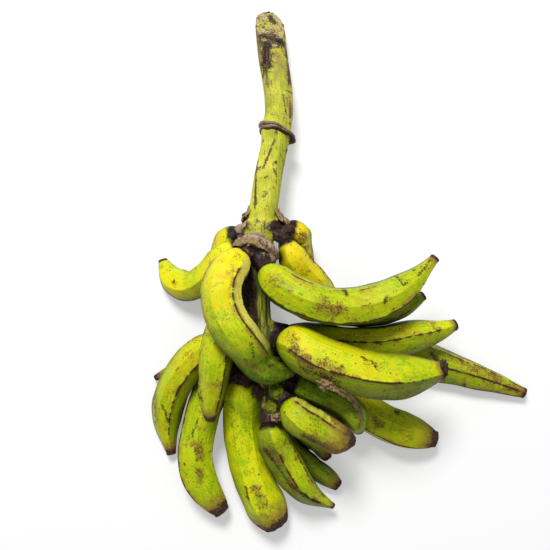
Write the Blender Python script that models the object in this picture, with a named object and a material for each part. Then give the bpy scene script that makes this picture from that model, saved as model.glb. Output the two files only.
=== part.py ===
"""A cut bunch of plantains lying on its side: one stalk with four hands of fruit.

The stalk points along +Y and its cut end rests on the table. Metres, +Z up, table at z = 0.
"""
import math

import bmesh
import bpy
import numpy as np
from mathutils import Matrix, Vector

# Fruit, in metres unless the name says otherwise
FRUIT_SIDES = 10
FRUIT_RINGS = 20
RIDGE_FACTOR = 1.06
FLAT_FACTOR = 0.94
NECK_FACTOR = 0.46
TIP_FACTOR = 0.38
TIP_BULGE = 0.25
RING_CROWDING = 0.10
STEM_REACH = 0.028
STEM_RINGS = 5
TOUCH_GAP = 0.0004
LINE_STEPS = 24

# Stalk
STALK_SIDES = 14
STALK_RINGS = 34
STALK_END_BULGE = 0.004
STALK_LINE = [
    (-0.005, 0.368, 0.0170), (-0.004, 0.293, 0.023), (0.004, 0.238, 0.031), (0.004, 0.189, 0.038),
    (-0.007, 0.131, 0.047), (-0.015, 0.073, 0.056), (-0.018, 0.029, 0.062), (-0.020, -0.031, 0.066),
    (-0.016, -0.079, 0.066), (-0.011, -0.121, 0.062), (-0.004, -0.167, 0.056),
]
STALK_RADII = [0.0200, 0.0196, 0.0188, 0.0182, 0.0170, 0.0180, 0.0160, 0.0150, 0.0140, 0.0125, 0.0080]
CUT_POINT = (-0.004, 0.3524, 0.000)
CUT_NORMAL = (0.05, 0.58, 0.81)
CUT_SNAP = 0.000001
SCAR_RING_POINT = (0.003, 0.182, 0.039)
SCAR_RING_NORMAL = (0.26, 0.96, -0.10)
SCAR_RING_RADIUS = 0.0225
SCAR_RING_WIDTH = 0.0045
SCAR_RING_SIDES = 20

# Crowns: the cushion that a hand's stems share, as its middle and half sizes, and the fibrous rim that
# the stalk's skin forms over it, as a line of points with a radius.
CROWNS = [
    dict(middle=(-0.016, 0.056, 0.060), half=(0.027, 0.015, 0.019)),
    dict(middle=(-0.019, 0.018, 0.073), half=(0.022, 0.014, 0.019)),
    dict(middle=(-0.017, -0.070, 0.064), half=(0.022, 0.018, 0.018)),
    dict(middle=(-0.007, -0.122, 0.060), half=(0.015, 0.022, 0.015)),
]
CROWN_RIMS = [
    [(-0.034, 0.042, 0.078), (-0.030, 0.042, 0.085), (-0.018, 0.038, 0.090), (-0.003, 0.028, 0.086),
     (0.004, 0.018, 0.074)],
    [(-0.036, 0.071, 0.060), (-0.036, 0.075, 0.045), (-0.015, 0.079, 0.034), (0.005, 0.075, 0.043),
     (0.008, 0.071, 0.058)],
]
CROWN_SUBDIVISIONS = 2
RIM_RADIUS = 0.0055
RIM_RINGS = 9
RIM_SIDES = 8
RIM_SWELL_SPAN = (0.12, 0.88)
STUB_RINGS = 5
STUB_BULGE = 0.002
STUB_SWELL_SPAN = (0.3, 0.8)
END_STUBS = [
    dict(line=[(-0.008, -0.128, 0.062), (0.000, -0.136, 0.072), (0.003, -0.143, 0.080)], radius=0.0070),
    dict(line=[(-0.004, -0.158, 0.058), (0.002, -0.166, 0.065), (0.004, -0.175, 0.068)], radius=0.0060),
]

# Settling of the pile
SETTLE_STEPS = 260
CHAIN_POINTS = 34
EVEN_OUT_EVERY = 20
SOFTEN_PASSES = 6
PUSH_SHARE = 0.5
PUSH_GAIN = 1.2
CLEARANCE = 0.0010
FLAT_DEPTH = 0.0022
LOOSE_LENGTH = 0.040
SINK_STEP = 0.0004
SETTLE_WEIGHTS = np.array([0.35, 0.35, 1.0])

# Each fruit: its middle line from inside the stalk to its tip, its girth as a radius, the turn of its
# ridges in degrees, the shares of its length that its shoulder and its tip take, whether it lies on the
# table, and how ripe its skin is.
FRUITS = {
    "hand_1_fruit_1": dict(
        line=[(-0.016, 0.060, 0.056), (-0.042, 0.054, 0.056), (-0.059, 0.034, 0.040),
              (-0.062, 0.000, 0.022), (-0.052, -0.042, 0.018)],
        girth=0.0195, turn=0, shoulder=0.16, tip=0.42, on_table=True, skin="yellow"),
    "hand_1_fruit_2": dict(
        line=[(-0.017, 0.046, 0.060), (-0.040, 0.036, 0.074), (-0.058, 0.020, 0.076),
              (-0.082, -0.002, 0.058), (-0.108, -0.013, 0.036), (-0.134, -0.002, 0.022),
              (-0.146, 0.028, 0.020)],
        girth=0.0175, turn=0, shoulder=0.18, tip=0.26, on_table=True, skin="yellow_green"),
    "hand_1_fruit_3": dict(
        line=[(-0.016, 0.064, 0.056), (0.014, 0.062, 0.052), (0.027, 0.042, 0.036),
              (0.027, 0.002, 0.020), (0.034, -0.040, 0.018)],
        girth=0.0195, turn=0, shoulder=0.16, tip=0.42, on_table=True, skin="yellow"),
    "hand_1_fruit_4": dict(
        line=[(-0.016, 0.050, 0.060), (0.010, 0.046, 0.070), (0.017, 0.028, 0.068),
              (0.034, 0.000, 0.056), (0.066, -0.030, 0.034), (0.092, -0.048, 0.022)],
        girth=0.0170, turn=0, shoulder=0.22, tip=0.42, on_table=False, skin="yellow"),
    "hand_2_fruit_1": dict(
        line=[(-0.019, 0.027, 0.064), (-0.034, 0.021, 0.090), (-0.050, 0.006, 0.108),
              (-0.062, -0.022, 0.121), (-0.053, -0.057, 0.122), (-0.032, -0.086, 0.109),
              (-0.003, -0.107, 0.084), (0.028, -0.117, 0.066)],
        girth=0.0218, turn=20, shoulder=0.16, tip=0.42, on_table=False, skin="yellow_green"),
    "hand_2_fruit_2": dict(
        line=[(-0.019, 0.012, 0.064), (-0.042, 0.002, 0.074), (-0.050, -0.022, 0.076),
              (-0.057, -0.055, 0.079), (-0.069, -0.097, 0.080), (-0.078, -0.180, 0.064)],
        girth=0.0185, turn=24, shoulder=0.30, tip=0.24, on_table=False, skin="olive"),
    "hand_2_fruit_3": dict(
        line=[(-0.018, 0.020, 0.064), (-0.014, 0.010, 0.092), (-0.002, -0.010, 0.105),
              (0.034, -0.034, 0.110), (0.088, -0.042, 0.108), (0.143, -0.024, 0.106),
              (0.190, 0.022, 0.104)],
        girth=0.0215, turn=24, shoulder=0.12, tip=0.42, on_table=False, skin="yellow_green"),
    "hand_2_fruit_4": dict(
        line=[(-0.018, 0.002, 0.064), (0.006, -0.008, 0.074), (0.038, -0.034, 0.066),
              (0.090, -0.053, 0.064), (0.141, -0.046, 0.064), (0.185, -0.022, 0.062)],
        girth=0.0180, turn=0, shoulder=0.20, tip=0.42, on_table=False, skin="green"),
    "hand_3_fruit_1": dict(
        line=[(-0.016, -0.072, 0.066), (0.006, -0.080, 0.074), (0.018, -0.086, 0.096),
              (0.036, -0.094, 0.109), (0.080, -0.110, 0.111), (0.130, -0.120, 0.106),
              (0.200, -0.112, 0.098)],
        girth=0.0240, turn=-22, shoulder=0.12, tip=0.30, on_table=False, skin="yellow_green"),
    "hand_3_fruit_2": dict(
        line=[(-0.017, -0.058, 0.066), (0.012, -0.070, 0.070), (0.066, -0.075, 0.064),
              (0.138, -0.076, 0.064), (0.190, -0.070, 0.062), (0.225, -0.058, 0.057)],
        girth=0.0190, turn=10, shoulder=0.20, tip=0.40, on_table=False, skin="yellow_green"),
    "hand_3_fruit_3": dict(
        line=[(-0.015, -0.090, 0.064), (0.008, -0.094, 0.044), (0.044, -0.093, 0.024),
              (0.107, -0.094, 0.019), (0.170, -0.102, 0.019), (0.252, -0.125, 0.017),
              (0.326, -0.151, 0.012)],
        girth=0.0190, turn=0, shoulder=0.16, tip=0.42, on_table=True, skin="yellow_green"),
    "hand_3_fruit_4": dict(
        line=[(-0.019, -0.060, 0.064), (-0.046, -0.072, 0.050), (-0.070, -0.088, 0.047),
              (-0.094, -0.106, 0.047), (-0.118, -0.134, 0.038), (-0.132, -0.177, 0.024),
              (-0.127, -0.230, 0.019)],
        girth=0.0190, turn=0, shoulder=0.34, tip=0.36, on_table=True, skin="yellow_green"),
    "hand_3_fruit_5": dict(
        line=[(-0.018, -0.074, 0.062), (-0.038, -0.082, 0.036), (-0.070, -0.090, 0.014),
              (-0.105, -0.105, 0.009), (-0.130, -0.118, 0.009), (-0.158, -0.131, 0.009)],
        girth=0.0100, turn=0, shoulder=0.16, tip=0.42, on_table=True, skin="olive"),
    "hand_4_fruit_1": dict(
        line=[(-0.012, -0.108, 0.062), (-0.033, -0.112, 0.052), (-0.042, -0.126, 0.040),
              (-0.042, -0.152, 0.030), (-0.039, -0.192, 0.022), (-0.027, -0.250, 0.021),
              (0.007, -0.318, 0.018)],
        girth=0.0230, turn=0, shoulder=0.12, tip=0.26, on_table=True, skin="green"),
    "hand_4_fruit_2": dict(
        line=[(-0.015, -0.088, 0.062), (-0.040, -0.100, 0.042), (-0.066, -0.118, 0.028),
              (-0.087, -0.146, 0.022), (-0.100, -0.190, 0.021), (-0.098, -0.244, 0.021),
              (-0.060, -0.299, 0.018)],
        girth=0.0215, turn=0, shoulder=0.20, tip=0.30, on_table=True, skin="green"),
    "hand_4_fruit_3": dict(
        line=[(-0.010, -0.112, 0.062), (0.014, -0.118, 0.040), (0.056, -0.138, 0.022),
              (0.112, -0.170, 0.020), (0.162, -0.193, 0.020), (0.208, -0.206, 0.017)],
        girth=0.0215, turn=0, shoulder=0.20, tip=0.26, on_table=True, skin="yellow_green"),
    "hand_4_fruit_4": dict(
        line=[(-0.009, -0.122, 0.062), (0.014, -0.128, 0.064), (0.046, -0.140, 0.062),
              (0.084, -0.158, 0.056), (0.104, -0.192, 0.044)],
        girth=0.0180, turn=0, shoulder=0.24, tip=0.30, on_table=False, skin="green"),
    "hand_4_fruit_5": dict(
        line=[(-0.006, -0.138, 0.058), (0.008, -0.144, 0.076), (0.026, -0.162, 0.084),
              (0.060, -0.184, 0.084), (0.095, -0.197, 0.080)],
        girth=0.0200, turn=14, shoulder=0.30, tip=0.24, on_table=False, skin="green"),
    "hand_4_fruit_6": dict(
        line=[(-0.006, -0.146, 0.057), (0.008, -0.162, 0.042), (0.027, -0.190, 0.024),
              (0.050, -0.214, 0.014), (0.069, -0.234, 0.012)],
        girth=0.0125, turn=0, shoulder=0.20, tip=0.36, on_table=True, skin="green"),
    "hand_4_fruit_7": dict(
        line=[(-0.005, -0.150, 0.057), (0.000, -0.172, 0.036), (0.018, -0.206, 0.016),
              (0.050, -0.239, 0.013), (0.084, -0.266, 0.012)],
        girth=0.0135, turn=0, shoulder=0.20, tip=0.36, on_table=True, skin="green"),
    "hand_4_fruit_8": dict(
        line=[(-0.006, -0.146, 0.057), (-0.010, -0.164, 0.064), (-0.004, -0.188, 0.058),
              (0.014, -0.229, 0.044), (0.045, -0.268, 0.030), (0.077, -0.287, 0.020)],
        girth=0.0190, turn=0, shoulder=0.20, tip=0.32, on_table=False, skin="olive"),
}

STALK_COLOUR = (0.50, 0.52, 0.12, 1.0)
STALK_ROUGHNESS = 0.6
SKIN_COLOURS = {
    "green": (0.19, 0.35, 0.01, 1.0), "yellow_green": (0.43, 0.46, 0.02, 1.0),
    "olive": (0.24, 0.24, 0.02, 1.0), "yellow": (0.75, 0.61, 0.01, 1.0),
}
SKIN_ROUGHNESS = 0.45
SHARP_ANGLE = math.radians(40)


def evenly(points, count):
    """The same line with count points at equal steps along it."""
    steps = np.linalg.norm(np.diff(points, axis=0), axis=1)
    along = np.concatenate([[0.0], np.cumsum(steps)])
    marks = np.linspace(0.0, along[-1], count)
    return np.stack([np.interp(marks, along, points[:, axis]) for axis in range(3)], axis=1)


def smooth_line(points, count):
    """Even points on a Catmull-Rom curve through hand-placed points."""
    points = np.array(points, float)
    line = np.vstack([2 * points[0] - points[1], points, 2 * points[-1] - points[-2]])
    share = np.linspace(0.0, 1.0, LINE_STEPS, endpoint=False)[:, None]
    pieces = []
    for a, b, c, d in zip(line, line[1:], line[2:], line[3:]):
        pieces.append(0.5 * (2 * b + (c - a) * share + (2 * a - 5 * b + 4 * c - d) * share ** 2
                             + (3 * b - a - 3 * c + d) * share ** 3))
    pieces.append(points[-1:])
    return evenly(np.vstack(pieces), count)


def line_length(points):
    return float(np.linalg.norm(np.diff(points, axis=0), axis=1).sum())


def fruit_radius(share, fruit):
    """Radius at a share of the fruit's length: a narrow neck, a full body, a bottle-shaped tip."""
    from_neck = np.clip(share / fruit["shoulder"], 0.0, 1.0)
    from_tip = np.clip((1.0 - share) / fruit["tip"], 0.0, 1.0)
    neck = NECK_FACTOR + (1.0 - NECK_FACTOR) * np.sin(0.5 * math.pi * from_neck)
    tip = TIP_FACTOR + (1.0 - TIP_FACTOR) * np.sin(0.5 * math.pi * from_tip)
    return fruit["girth"] * neck * tip


def chain_radii(length, fruit):
    """Radii at the chain's even points: the stem first, then the fruit."""
    distance = np.linspace(0.0, length, CHAIN_POINTS)
    share = np.clip((distance - STEM_REACH) / (length - STEM_REACH), 0.0, 1.0)
    return fruit_radius(share, fruit)


def soften(points, passes):
    """Smooth a row of points, keeping the number of its points."""
    for _ in range(passes):
        padded = np.vstack([points[:1], points, points[-1:]])
        points = 0.25 * padded[:-2] + 0.5 * padded[1:-1] + 0.25 * padded[2:]
    return points


def stalk_radii(count):
    """Radii at the stalk's even points."""
    return np.interp(np.linspace(0, 1, count), np.linspace(0, 1, len(STALK_RADII)), STALK_RADII)


def settle(fruits):
    """Push the fruits' middle lines apart until none of them touch, as a pile settles."""
    names = list(fruits)
    lines = [soften(smooth_line(fruits[name]["line"], CHAIN_POINTS), SOFTEN_PASSES) for name in names]
    stalk = smooth_line(STALK_LINE, 2 * CHAIN_POINTS)
    thickness = stalk_radii(len(stalk))
    owner = np.repeat(np.arange(len(names)), CHAIN_POINTS)
    everyone = np.concatenate([owner, np.full(len(stalk), -1)])
    rows = np.arange(len(owner))
    for step in range(SETTLE_STEPS):
        points = np.vstack(lines)
        lengths = [line_length(line) for line in lines]
        radii = np.concatenate([chain_radii(length, fruits[name]) for length, name in zip(lengths, names)])
        distance = np.concatenate([np.linspace(0.0, length, CHAIN_POINTS) for length in lengths])
        loose = np.clip((distance - STEM_REACH) / LOOSE_LENGTH, 0.0, 1.0)[:, None]
        stem = distance < STEM_REACH
        others = np.vstack([points, stalk])
        away = points[:, None, :] - others[None, :, :]
        apart = np.maximum(np.linalg.norm(away, axis=2), CLEARANCE)
        reach = radii[:, None] + np.concatenate([radii, thickness])[None, :]
        overlap = RIDGE_FACTOR * reach + CLEARANCE - apart
        overlap[everyone[None, :] == owner[:, None]] = 0.0
        overlap[stem[:, None] & np.concatenate([stem, np.ones(len(stalk), bool)])[None, :]] = 0.0
        worst = overlap.argmax(axis=1)
        depth = np.maximum(overlap[rows, worst], 0.0)
        push = PUSH_SHARE * away[rows, worst] * (depth / apart[rows, worst])[:, None] * SETTLE_WEIGHTS
        low = FLAT_FACTOR * radii - FLAT_DEPTH - points[:, 2]
        push[:, 2] = np.where(low > 0.0, np.maximum(push[:, 2], low), push[:, 2])
        push *= loose
        for index, name in enumerate(names):
            own = slice(index * CHAIN_POINTS, (index + 1) * CHAIN_POINTS)
            lines[index] = lines[index] + PUSH_GAIN * soften(push[own], SOFTEN_PASSES)
            if fruits[name]["on_table"]:
                above = (lines[index][:, 2] - FLAT_FACTOR * radii[own] + FLAT_DEPTH).min()
                lines[index][:, 2] -= np.clip(above, 0.0, SINK_STEP) * loose[own][:, 0]
        if step % EVEN_OUT_EVERY == 0:
            lines = [evenly(line, CHAIN_POINTS) for line in lines]
    return dict(zip(names, lines))


def frames_along(line, turn):
    """A turning-free frame at each point of a line, upright at the middle, Z running along the line."""
    tangents = np.gradient(line, axis=0)
    tangents /= np.linalg.norm(tangents, axis=1)[:, None]
    middle = len(line) // 2
    ups = [None] * len(line)
    up = Vector((0.0, 0.0, 1.0))
    tangent = Vector(tangents[middle])
    ups[middle] = (up - tangent * up.dot(tangent)).normalized()
    for index in list(range(middle + 1, len(line))) + list(range(middle - 1, -1, -1)):
        before = index - 1 if index > middle else index + 1
        bend = Vector(tangents[before]).rotation_difference(Vector(tangents[index]))
        ups[index] = bend @ ups[before]
    spin = Matrix.Rotation(math.radians(turn), 4, "Z")
    frames = []
    for point, tangent, up in zip(line, tangents, ups):
        ahead = Vector(tangent)
        up = (up - ahead * up.dot(ahead)).normalized()
        side = up.cross(ahead)
        frame = Matrix((side, up, ahead)).transposed().to_4x4()
        frames.append(Matrix.Translation(Vector(point)) @ frame @ spin)
    return frames


def sweep(frames, radii, sides, end_bulge=0.0, ridge=1.0, flat=1.0):
    """A closed tube: a ring extruded from frame to frame, with a point at the middle of each end."""
    mesh = bmesh.new()
    ring = bmesh.ops.create_circle(mesh, cap_ends=False, segments=sides, radius=1.0)["verts"]
    for index, vert in enumerate(ring):
        angle = 2.0 * math.pi * index / sides
        reach = ridge if index % 2 == 0 else flat
        vert.co = Vector((reach * math.sin(angle), reach * math.cos(angle), 0.0))
    placed = frames[0] @ Matrix.Scale(radii[0], 4)
    bmesh.ops.transform(mesh, matrix=placed, verts=ring)
    edges = mesh.edges[:]
    for frame, radius in zip(frames[1:], radii[1:]):
        wanted = frame @ Matrix.Scale(radius, 4)
        grown = bmesh.ops.extrude_edge_only(mesh, edges=edges)["geom"]
        moved = [item for item in grown if isinstance(item, bmesh.types.BMVert)]
        edges = [item for item in grown if isinstance(item, bmesh.types.BMEdge)
                 and item.verts[0] in moved and item.verts[1] in moved]
        bmesh.ops.transform(mesh, matrix=wanted @ placed.inverted(), verts=moved)
        placed = wanted
    ends = bmesh.ops.holes_fill(mesh, edges=mesh.edges[:], sides=0)["faces"]
    first, last = frames[0].translation, frames[-1].translation
    ends.sort(key=lambda face: (face.calc_center_median() - first).length)
    for end, frame, bulge in ((ends[0], frames[0], 0.0), (ends[-1], frames[-1], end_bulge)):
        pole = bmesh.ops.poke(mesh, faces=[end])["verts"][0]
        pole.co = frame @ Vector((0.0, 0.0, bulge))
    bmesh.ops.recalc_face_normals(mesh, faces=mesh.faces[:])
    return mesh


def material(name, colour, roughness):
    made = bpy.data.materials.new(name)
    made.use_nodes = True
    shader = made.node_tree.nodes["Principled BSDF"]
    shader.inputs["Base Color"].default_value = colour
    shader.inputs["Roughness"].default_value = roughness
    shader.inputs["Metallic"].default_value = 0.0
    return made


def add_object(name, mesh, colour, roughness):
    data = bpy.data.meshes.new(name)
    mesh.to_mesh(data)
    mesh.free()
    data.shade_smooth()
    data.set_sharp_from_angle(angle=SHARP_ANGLE)
    made = bpy.data.objects.new(name, data)
    data.materials.append(material(name, colour, roughness))
    bpy.context.scene.collection.objects.link(made)
    return made


def stem_and_fruit(line, fruit):
    """Split a settled line into the stem that belongs to the stalk and the fruit beyond it."""
    length = line_length(line)
    share = np.linspace(0.0, 1.0, FRUIT_RINGS)
    share = share - RING_CROWDING * np.sin(2.0 * math.pi * share) / math.pi
    stem_marks = np.linspace(0.0, STEM_REACH, STEM_RINGS)
    fruit_marks = STEM_REACH + share[1:] * (length - STEM_REACH)
    marks = np.concatenate([stem_marks, fruit_marks])
    along = np.linspace(0.0, length, len(line))
    points = np.stack([np.interp(marks, along, line[:, axis]) for axis in range(3)], axis=1)
    frames = frames_along(points, fruit["turn"])
    seam = frames[STEM_RINGS - 1]
    apart = Matrix.Translation(seam.to_3x3() @ Vector((0.0, 0.0, TOUCH_GAP)))
    stem_frames = frames[:STEM_RINGS]
    fruit_frames = [apart @ seam] + frames[STEM_RINGS:]
    return stem_frames, fruit_frames, fruit_radius(share, fruit)


def rest_on_table(mesh):
    """Press flat whatever would reach below the table."""
    for vert in mesh.verts:
        vert.co.z = max(vert.co.z, 0.0)


def build_fruit(name, line):
    _, frames, radii = stem_and_fruit(line, FRUITS[name])
    mesh = sweep(frames, radii, FRUIT_SIDES, TIP_BULGE * radii[-1], RIDGE_FACTOR, FLAT_FACTOR)
    rest_on_table(mesh)
    add_object(name, mesh, SKIN_COLOURS[FRUITS[name]["skin"]], SKIN_ROUGHNESS)


def stem_meshes(lines):
    """The blackened stems that carry the fruits, one from the stalk's middle to each fruit."""
    meshes = []
    for name, line in lines.items():
        frames, _, fruit_radii = stem_and_fruit(line, FRUITS[name])
        radii = np.full(STEM_RINGS, fruit_radii[0])
        meshes.append(sweep(frames, radii, FRUIT_SIDES, 0.0, RIDGE_FACTOR, FLAT_FACTOR))
    return meshes


def crown_meshes():
    """The cushions that a hand's stems share, and the fibrous rims over two of them."""
    meshes = []
    for crown in CROWNS:
        cushion = bmesh.new()
        bmesh.ops.create_icosphere(cushion, subdivisions=CROWN_SUBDIVISIONS, radius=1.0)
        bmesh.ops.scale(cushion, verts=cushion.verts[:], vec=crown["half"])
        bmesh.ops.translate(cushion, verts=cushion.verts[:], vec=crown["middle"])
        meshes.append(cushion)
    swell = RIM_RADIUS * np.sin(np.linspace(*RIM_SWELL_SPAN, RIM_RINGS) * math.pi)
    for rim in CROWN_RIMS:
        meshes.append(sweep(frames_along(smooth_line(rim, RIM_RINGS), 0.0), swell, RIM_SIDES))
    return meshes


def end_stub_meshes():
    """The stubs of fruit that never filled out, at the far end of the stalk."""
    meshes = []
    for stub in END_STUBS:
        frames = frames_along(smooth_line(stub["line"], STUB_RINGS), 0.0)
        radii = stub["radius"] * np.sin(np.linspace(*STUB_SWELL_SPAN, STUB_RINGS) * math.pi)
        meshes.append(sweep(frames, radii, RIM_SIDES, STUB_BULGE))
    return meshes


def scar_ring_mesh():
    """The ledge that a fallen leaf left round the stalk."""
    ring = bmesh.new()
    facing = Vector(SCAR_RING_NORMAL).to_track_quat("Z", "Y").to_matrix().to_4x4()
    bmesh.ops.create_cone(ring, cap_ends=True, segments=SCAR_RING_SIDES, radius1=SCAR_RING_RADIUS,
                          radius2=SCAR_RING_RADIUS, depth=SCAR_RING_WIDTH,
                          matrix=Matrix.Translation(SCAR_RING_POINT) @ facing)
    return ring


def build_stalk(lines):
    """The stalk, cut slantwise at its thick end, with all that grew onto it joined in one solid."""
    frames = frames_along(smooth_line(STALK_LINE, STALK_RINGS), 0.0)
    mesh = sweep(frames, stalk_radii(STALK_RINGS), STALK_SIDES, STALK_END_BULGE)
    bmesh.ops.bisect_plane(mesh, geom=mesh.verts[:] + mesh.edges[:] + mesh.faces[:], dist=CUT_SNAP,
                           plane_co=CUT_POINT, plane_no=CUT_NORMAL, clear_outer=True)
    bmesh.ops.holes_fill(mesh, edges=mesh.edges[:], sides=0)
    rest_on_table(mesh)
    stalk = add_object("stalk", mesh, STALK_COLOUR, STALK_ROUGHNESS)

    grown = bpy.data.collections.new("grown_onto_stalk")
    bpy.context.scene.collection.children.link(grown)
    for extra in stem_meshes(lines) + crown_meshes() + end_stub_meshes() + [scar_ring_mesh()]:
        made = add_object("extra", extra, STALK_COLOUR, STALK_ROUGHNESS)
        bpy.context.scene.collection.objects.unlink(made)
        grown.objects.link(made)
    join = stalk.modifiers.new("join", "BOOLEAN")
    join.operation = "UNION"
    join.operand_type = "COLLECTION"
    join.collection = grown
    join.solver = "EXACT"
    bpy.context.view_layer.update()
    joined = bpy.data.meshes.new_from_object(stalk.evaluated_get(bpy.context.evaluated_depsgraph_get()))
    stalk.modifiers.clear()
    stalk.data = joined
    stalk.data.set_sharp_from_angle(angle=SHARP_ANGLE)
    for used in list(grown.objects):
        bpy.data.objects.remove(used, do_unlink=True)
    bpy.data.collections.remove(grown)


def centre_on_table():
    """Move every piece so that the middle of the bunch's box is over the origin."""
    pieces = [piece for piece in bpy.data.objects if piece.type == "MESH"]
    corners = np.array([vert.co for piece in pieces for vert in piece.data.vertices])
    middle = 0.5 * (corners.min(axis=0) + corners.max(axis=0))
    for piece in pieces:
        piece.location = (-middle[0], -middle[1], 0.0)


for old in list(bpy.data.objects):
    bpy.data.objects.remove(old, do_unlink=True)

settled = settle(FRUITS)
build_stalk(settled)
for name in FRUITS:
    build_fruit(name, settled[name])
centre_on_table()
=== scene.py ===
"""The looks of a cut bunch of plantains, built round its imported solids. Metres, +Z up."""
import math

import bmesh
import bpy
import numpy as np
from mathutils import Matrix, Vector, noise
from mathutils.bvhtree import BVHTree


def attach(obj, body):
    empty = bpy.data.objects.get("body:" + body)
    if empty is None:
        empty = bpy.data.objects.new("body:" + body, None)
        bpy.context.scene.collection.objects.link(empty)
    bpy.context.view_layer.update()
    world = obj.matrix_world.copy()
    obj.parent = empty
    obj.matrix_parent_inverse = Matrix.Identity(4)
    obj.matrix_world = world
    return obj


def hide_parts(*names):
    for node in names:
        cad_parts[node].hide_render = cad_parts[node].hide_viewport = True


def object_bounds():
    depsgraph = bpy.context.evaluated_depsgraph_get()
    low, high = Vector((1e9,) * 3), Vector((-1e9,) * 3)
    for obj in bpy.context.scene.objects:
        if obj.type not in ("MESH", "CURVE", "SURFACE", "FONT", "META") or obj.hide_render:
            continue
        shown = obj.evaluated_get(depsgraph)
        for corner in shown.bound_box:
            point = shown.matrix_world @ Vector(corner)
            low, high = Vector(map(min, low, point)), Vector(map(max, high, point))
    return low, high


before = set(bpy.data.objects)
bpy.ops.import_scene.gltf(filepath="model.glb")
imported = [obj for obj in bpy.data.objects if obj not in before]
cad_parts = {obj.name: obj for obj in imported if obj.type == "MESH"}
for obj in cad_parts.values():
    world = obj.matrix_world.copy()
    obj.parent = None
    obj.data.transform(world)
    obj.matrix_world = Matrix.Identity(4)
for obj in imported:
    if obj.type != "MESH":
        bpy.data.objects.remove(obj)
cad_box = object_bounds()

# The fruit's shape
# Each fruit is one grown piece: a thick skin with blunt lengthwise ridges round firm flesh. It narrows to the
# stem that it grew on, and to the corky dark scar that its flower left at the other end.
MERGE = 0.00002
TIP_EDGES = 10
FRAME_STEP = 0.002
LINE_PASSES = 6
RING_STEP = 0.0021
FACE_COLUMNS = 12
RIDGES = 5
COLUMN_CROWDING = 1.35
ROOT_OVERLAP = 0.004
ROOT_ROUND = 0.8
ROOT_RINGS = 9
TIP_SINK = 0.0016
BODY_END = 0.0035
TIP_PROFILE = [(-0.0022, 1.0), (-0.001, 1.0), (-0.0002, 0.96), (0.0, 0.86), (-0.0005, 0.7),
               (-0.0016, 0.52), (-0.0014, 0.36), (0.0002, 0.26), (0.0006, 0.14), (0.0007, 0.0)]
TAPER_FROM = 0.72
SWELL_SPAN = (0.05, 0.25)
NECK = 0.004
FLATNESS = 0.62
FLAT_MIDDLE = 0.89
WIDEST_FACE = math.radians(40.0)
CREST = 0.03
CREST_WIDTH = 0.085
RIDGE_END = 0.93
RIDGE_FADE = 0.09
TWIST = 7.0
SWAY = 0.05
RIPPLES = [(0.012, 14.0, 2.0), (0.009, 23.0, -1.0), (0.006, 41.0, 3.0)]
RAGGED_TIP = 0.1
DENT = 0.0008
DENT_SCALE = 42.0
NEAR = 0.012
MILLIMETRES = 1000.0
FRUIT_LAYERS = ("past_neck", "tip_share", "ridge_gap", "ridge_brown", "ripe", "warm", "dull", "bruise", "rub",
                "near", "under", "pale", "grain")

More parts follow.
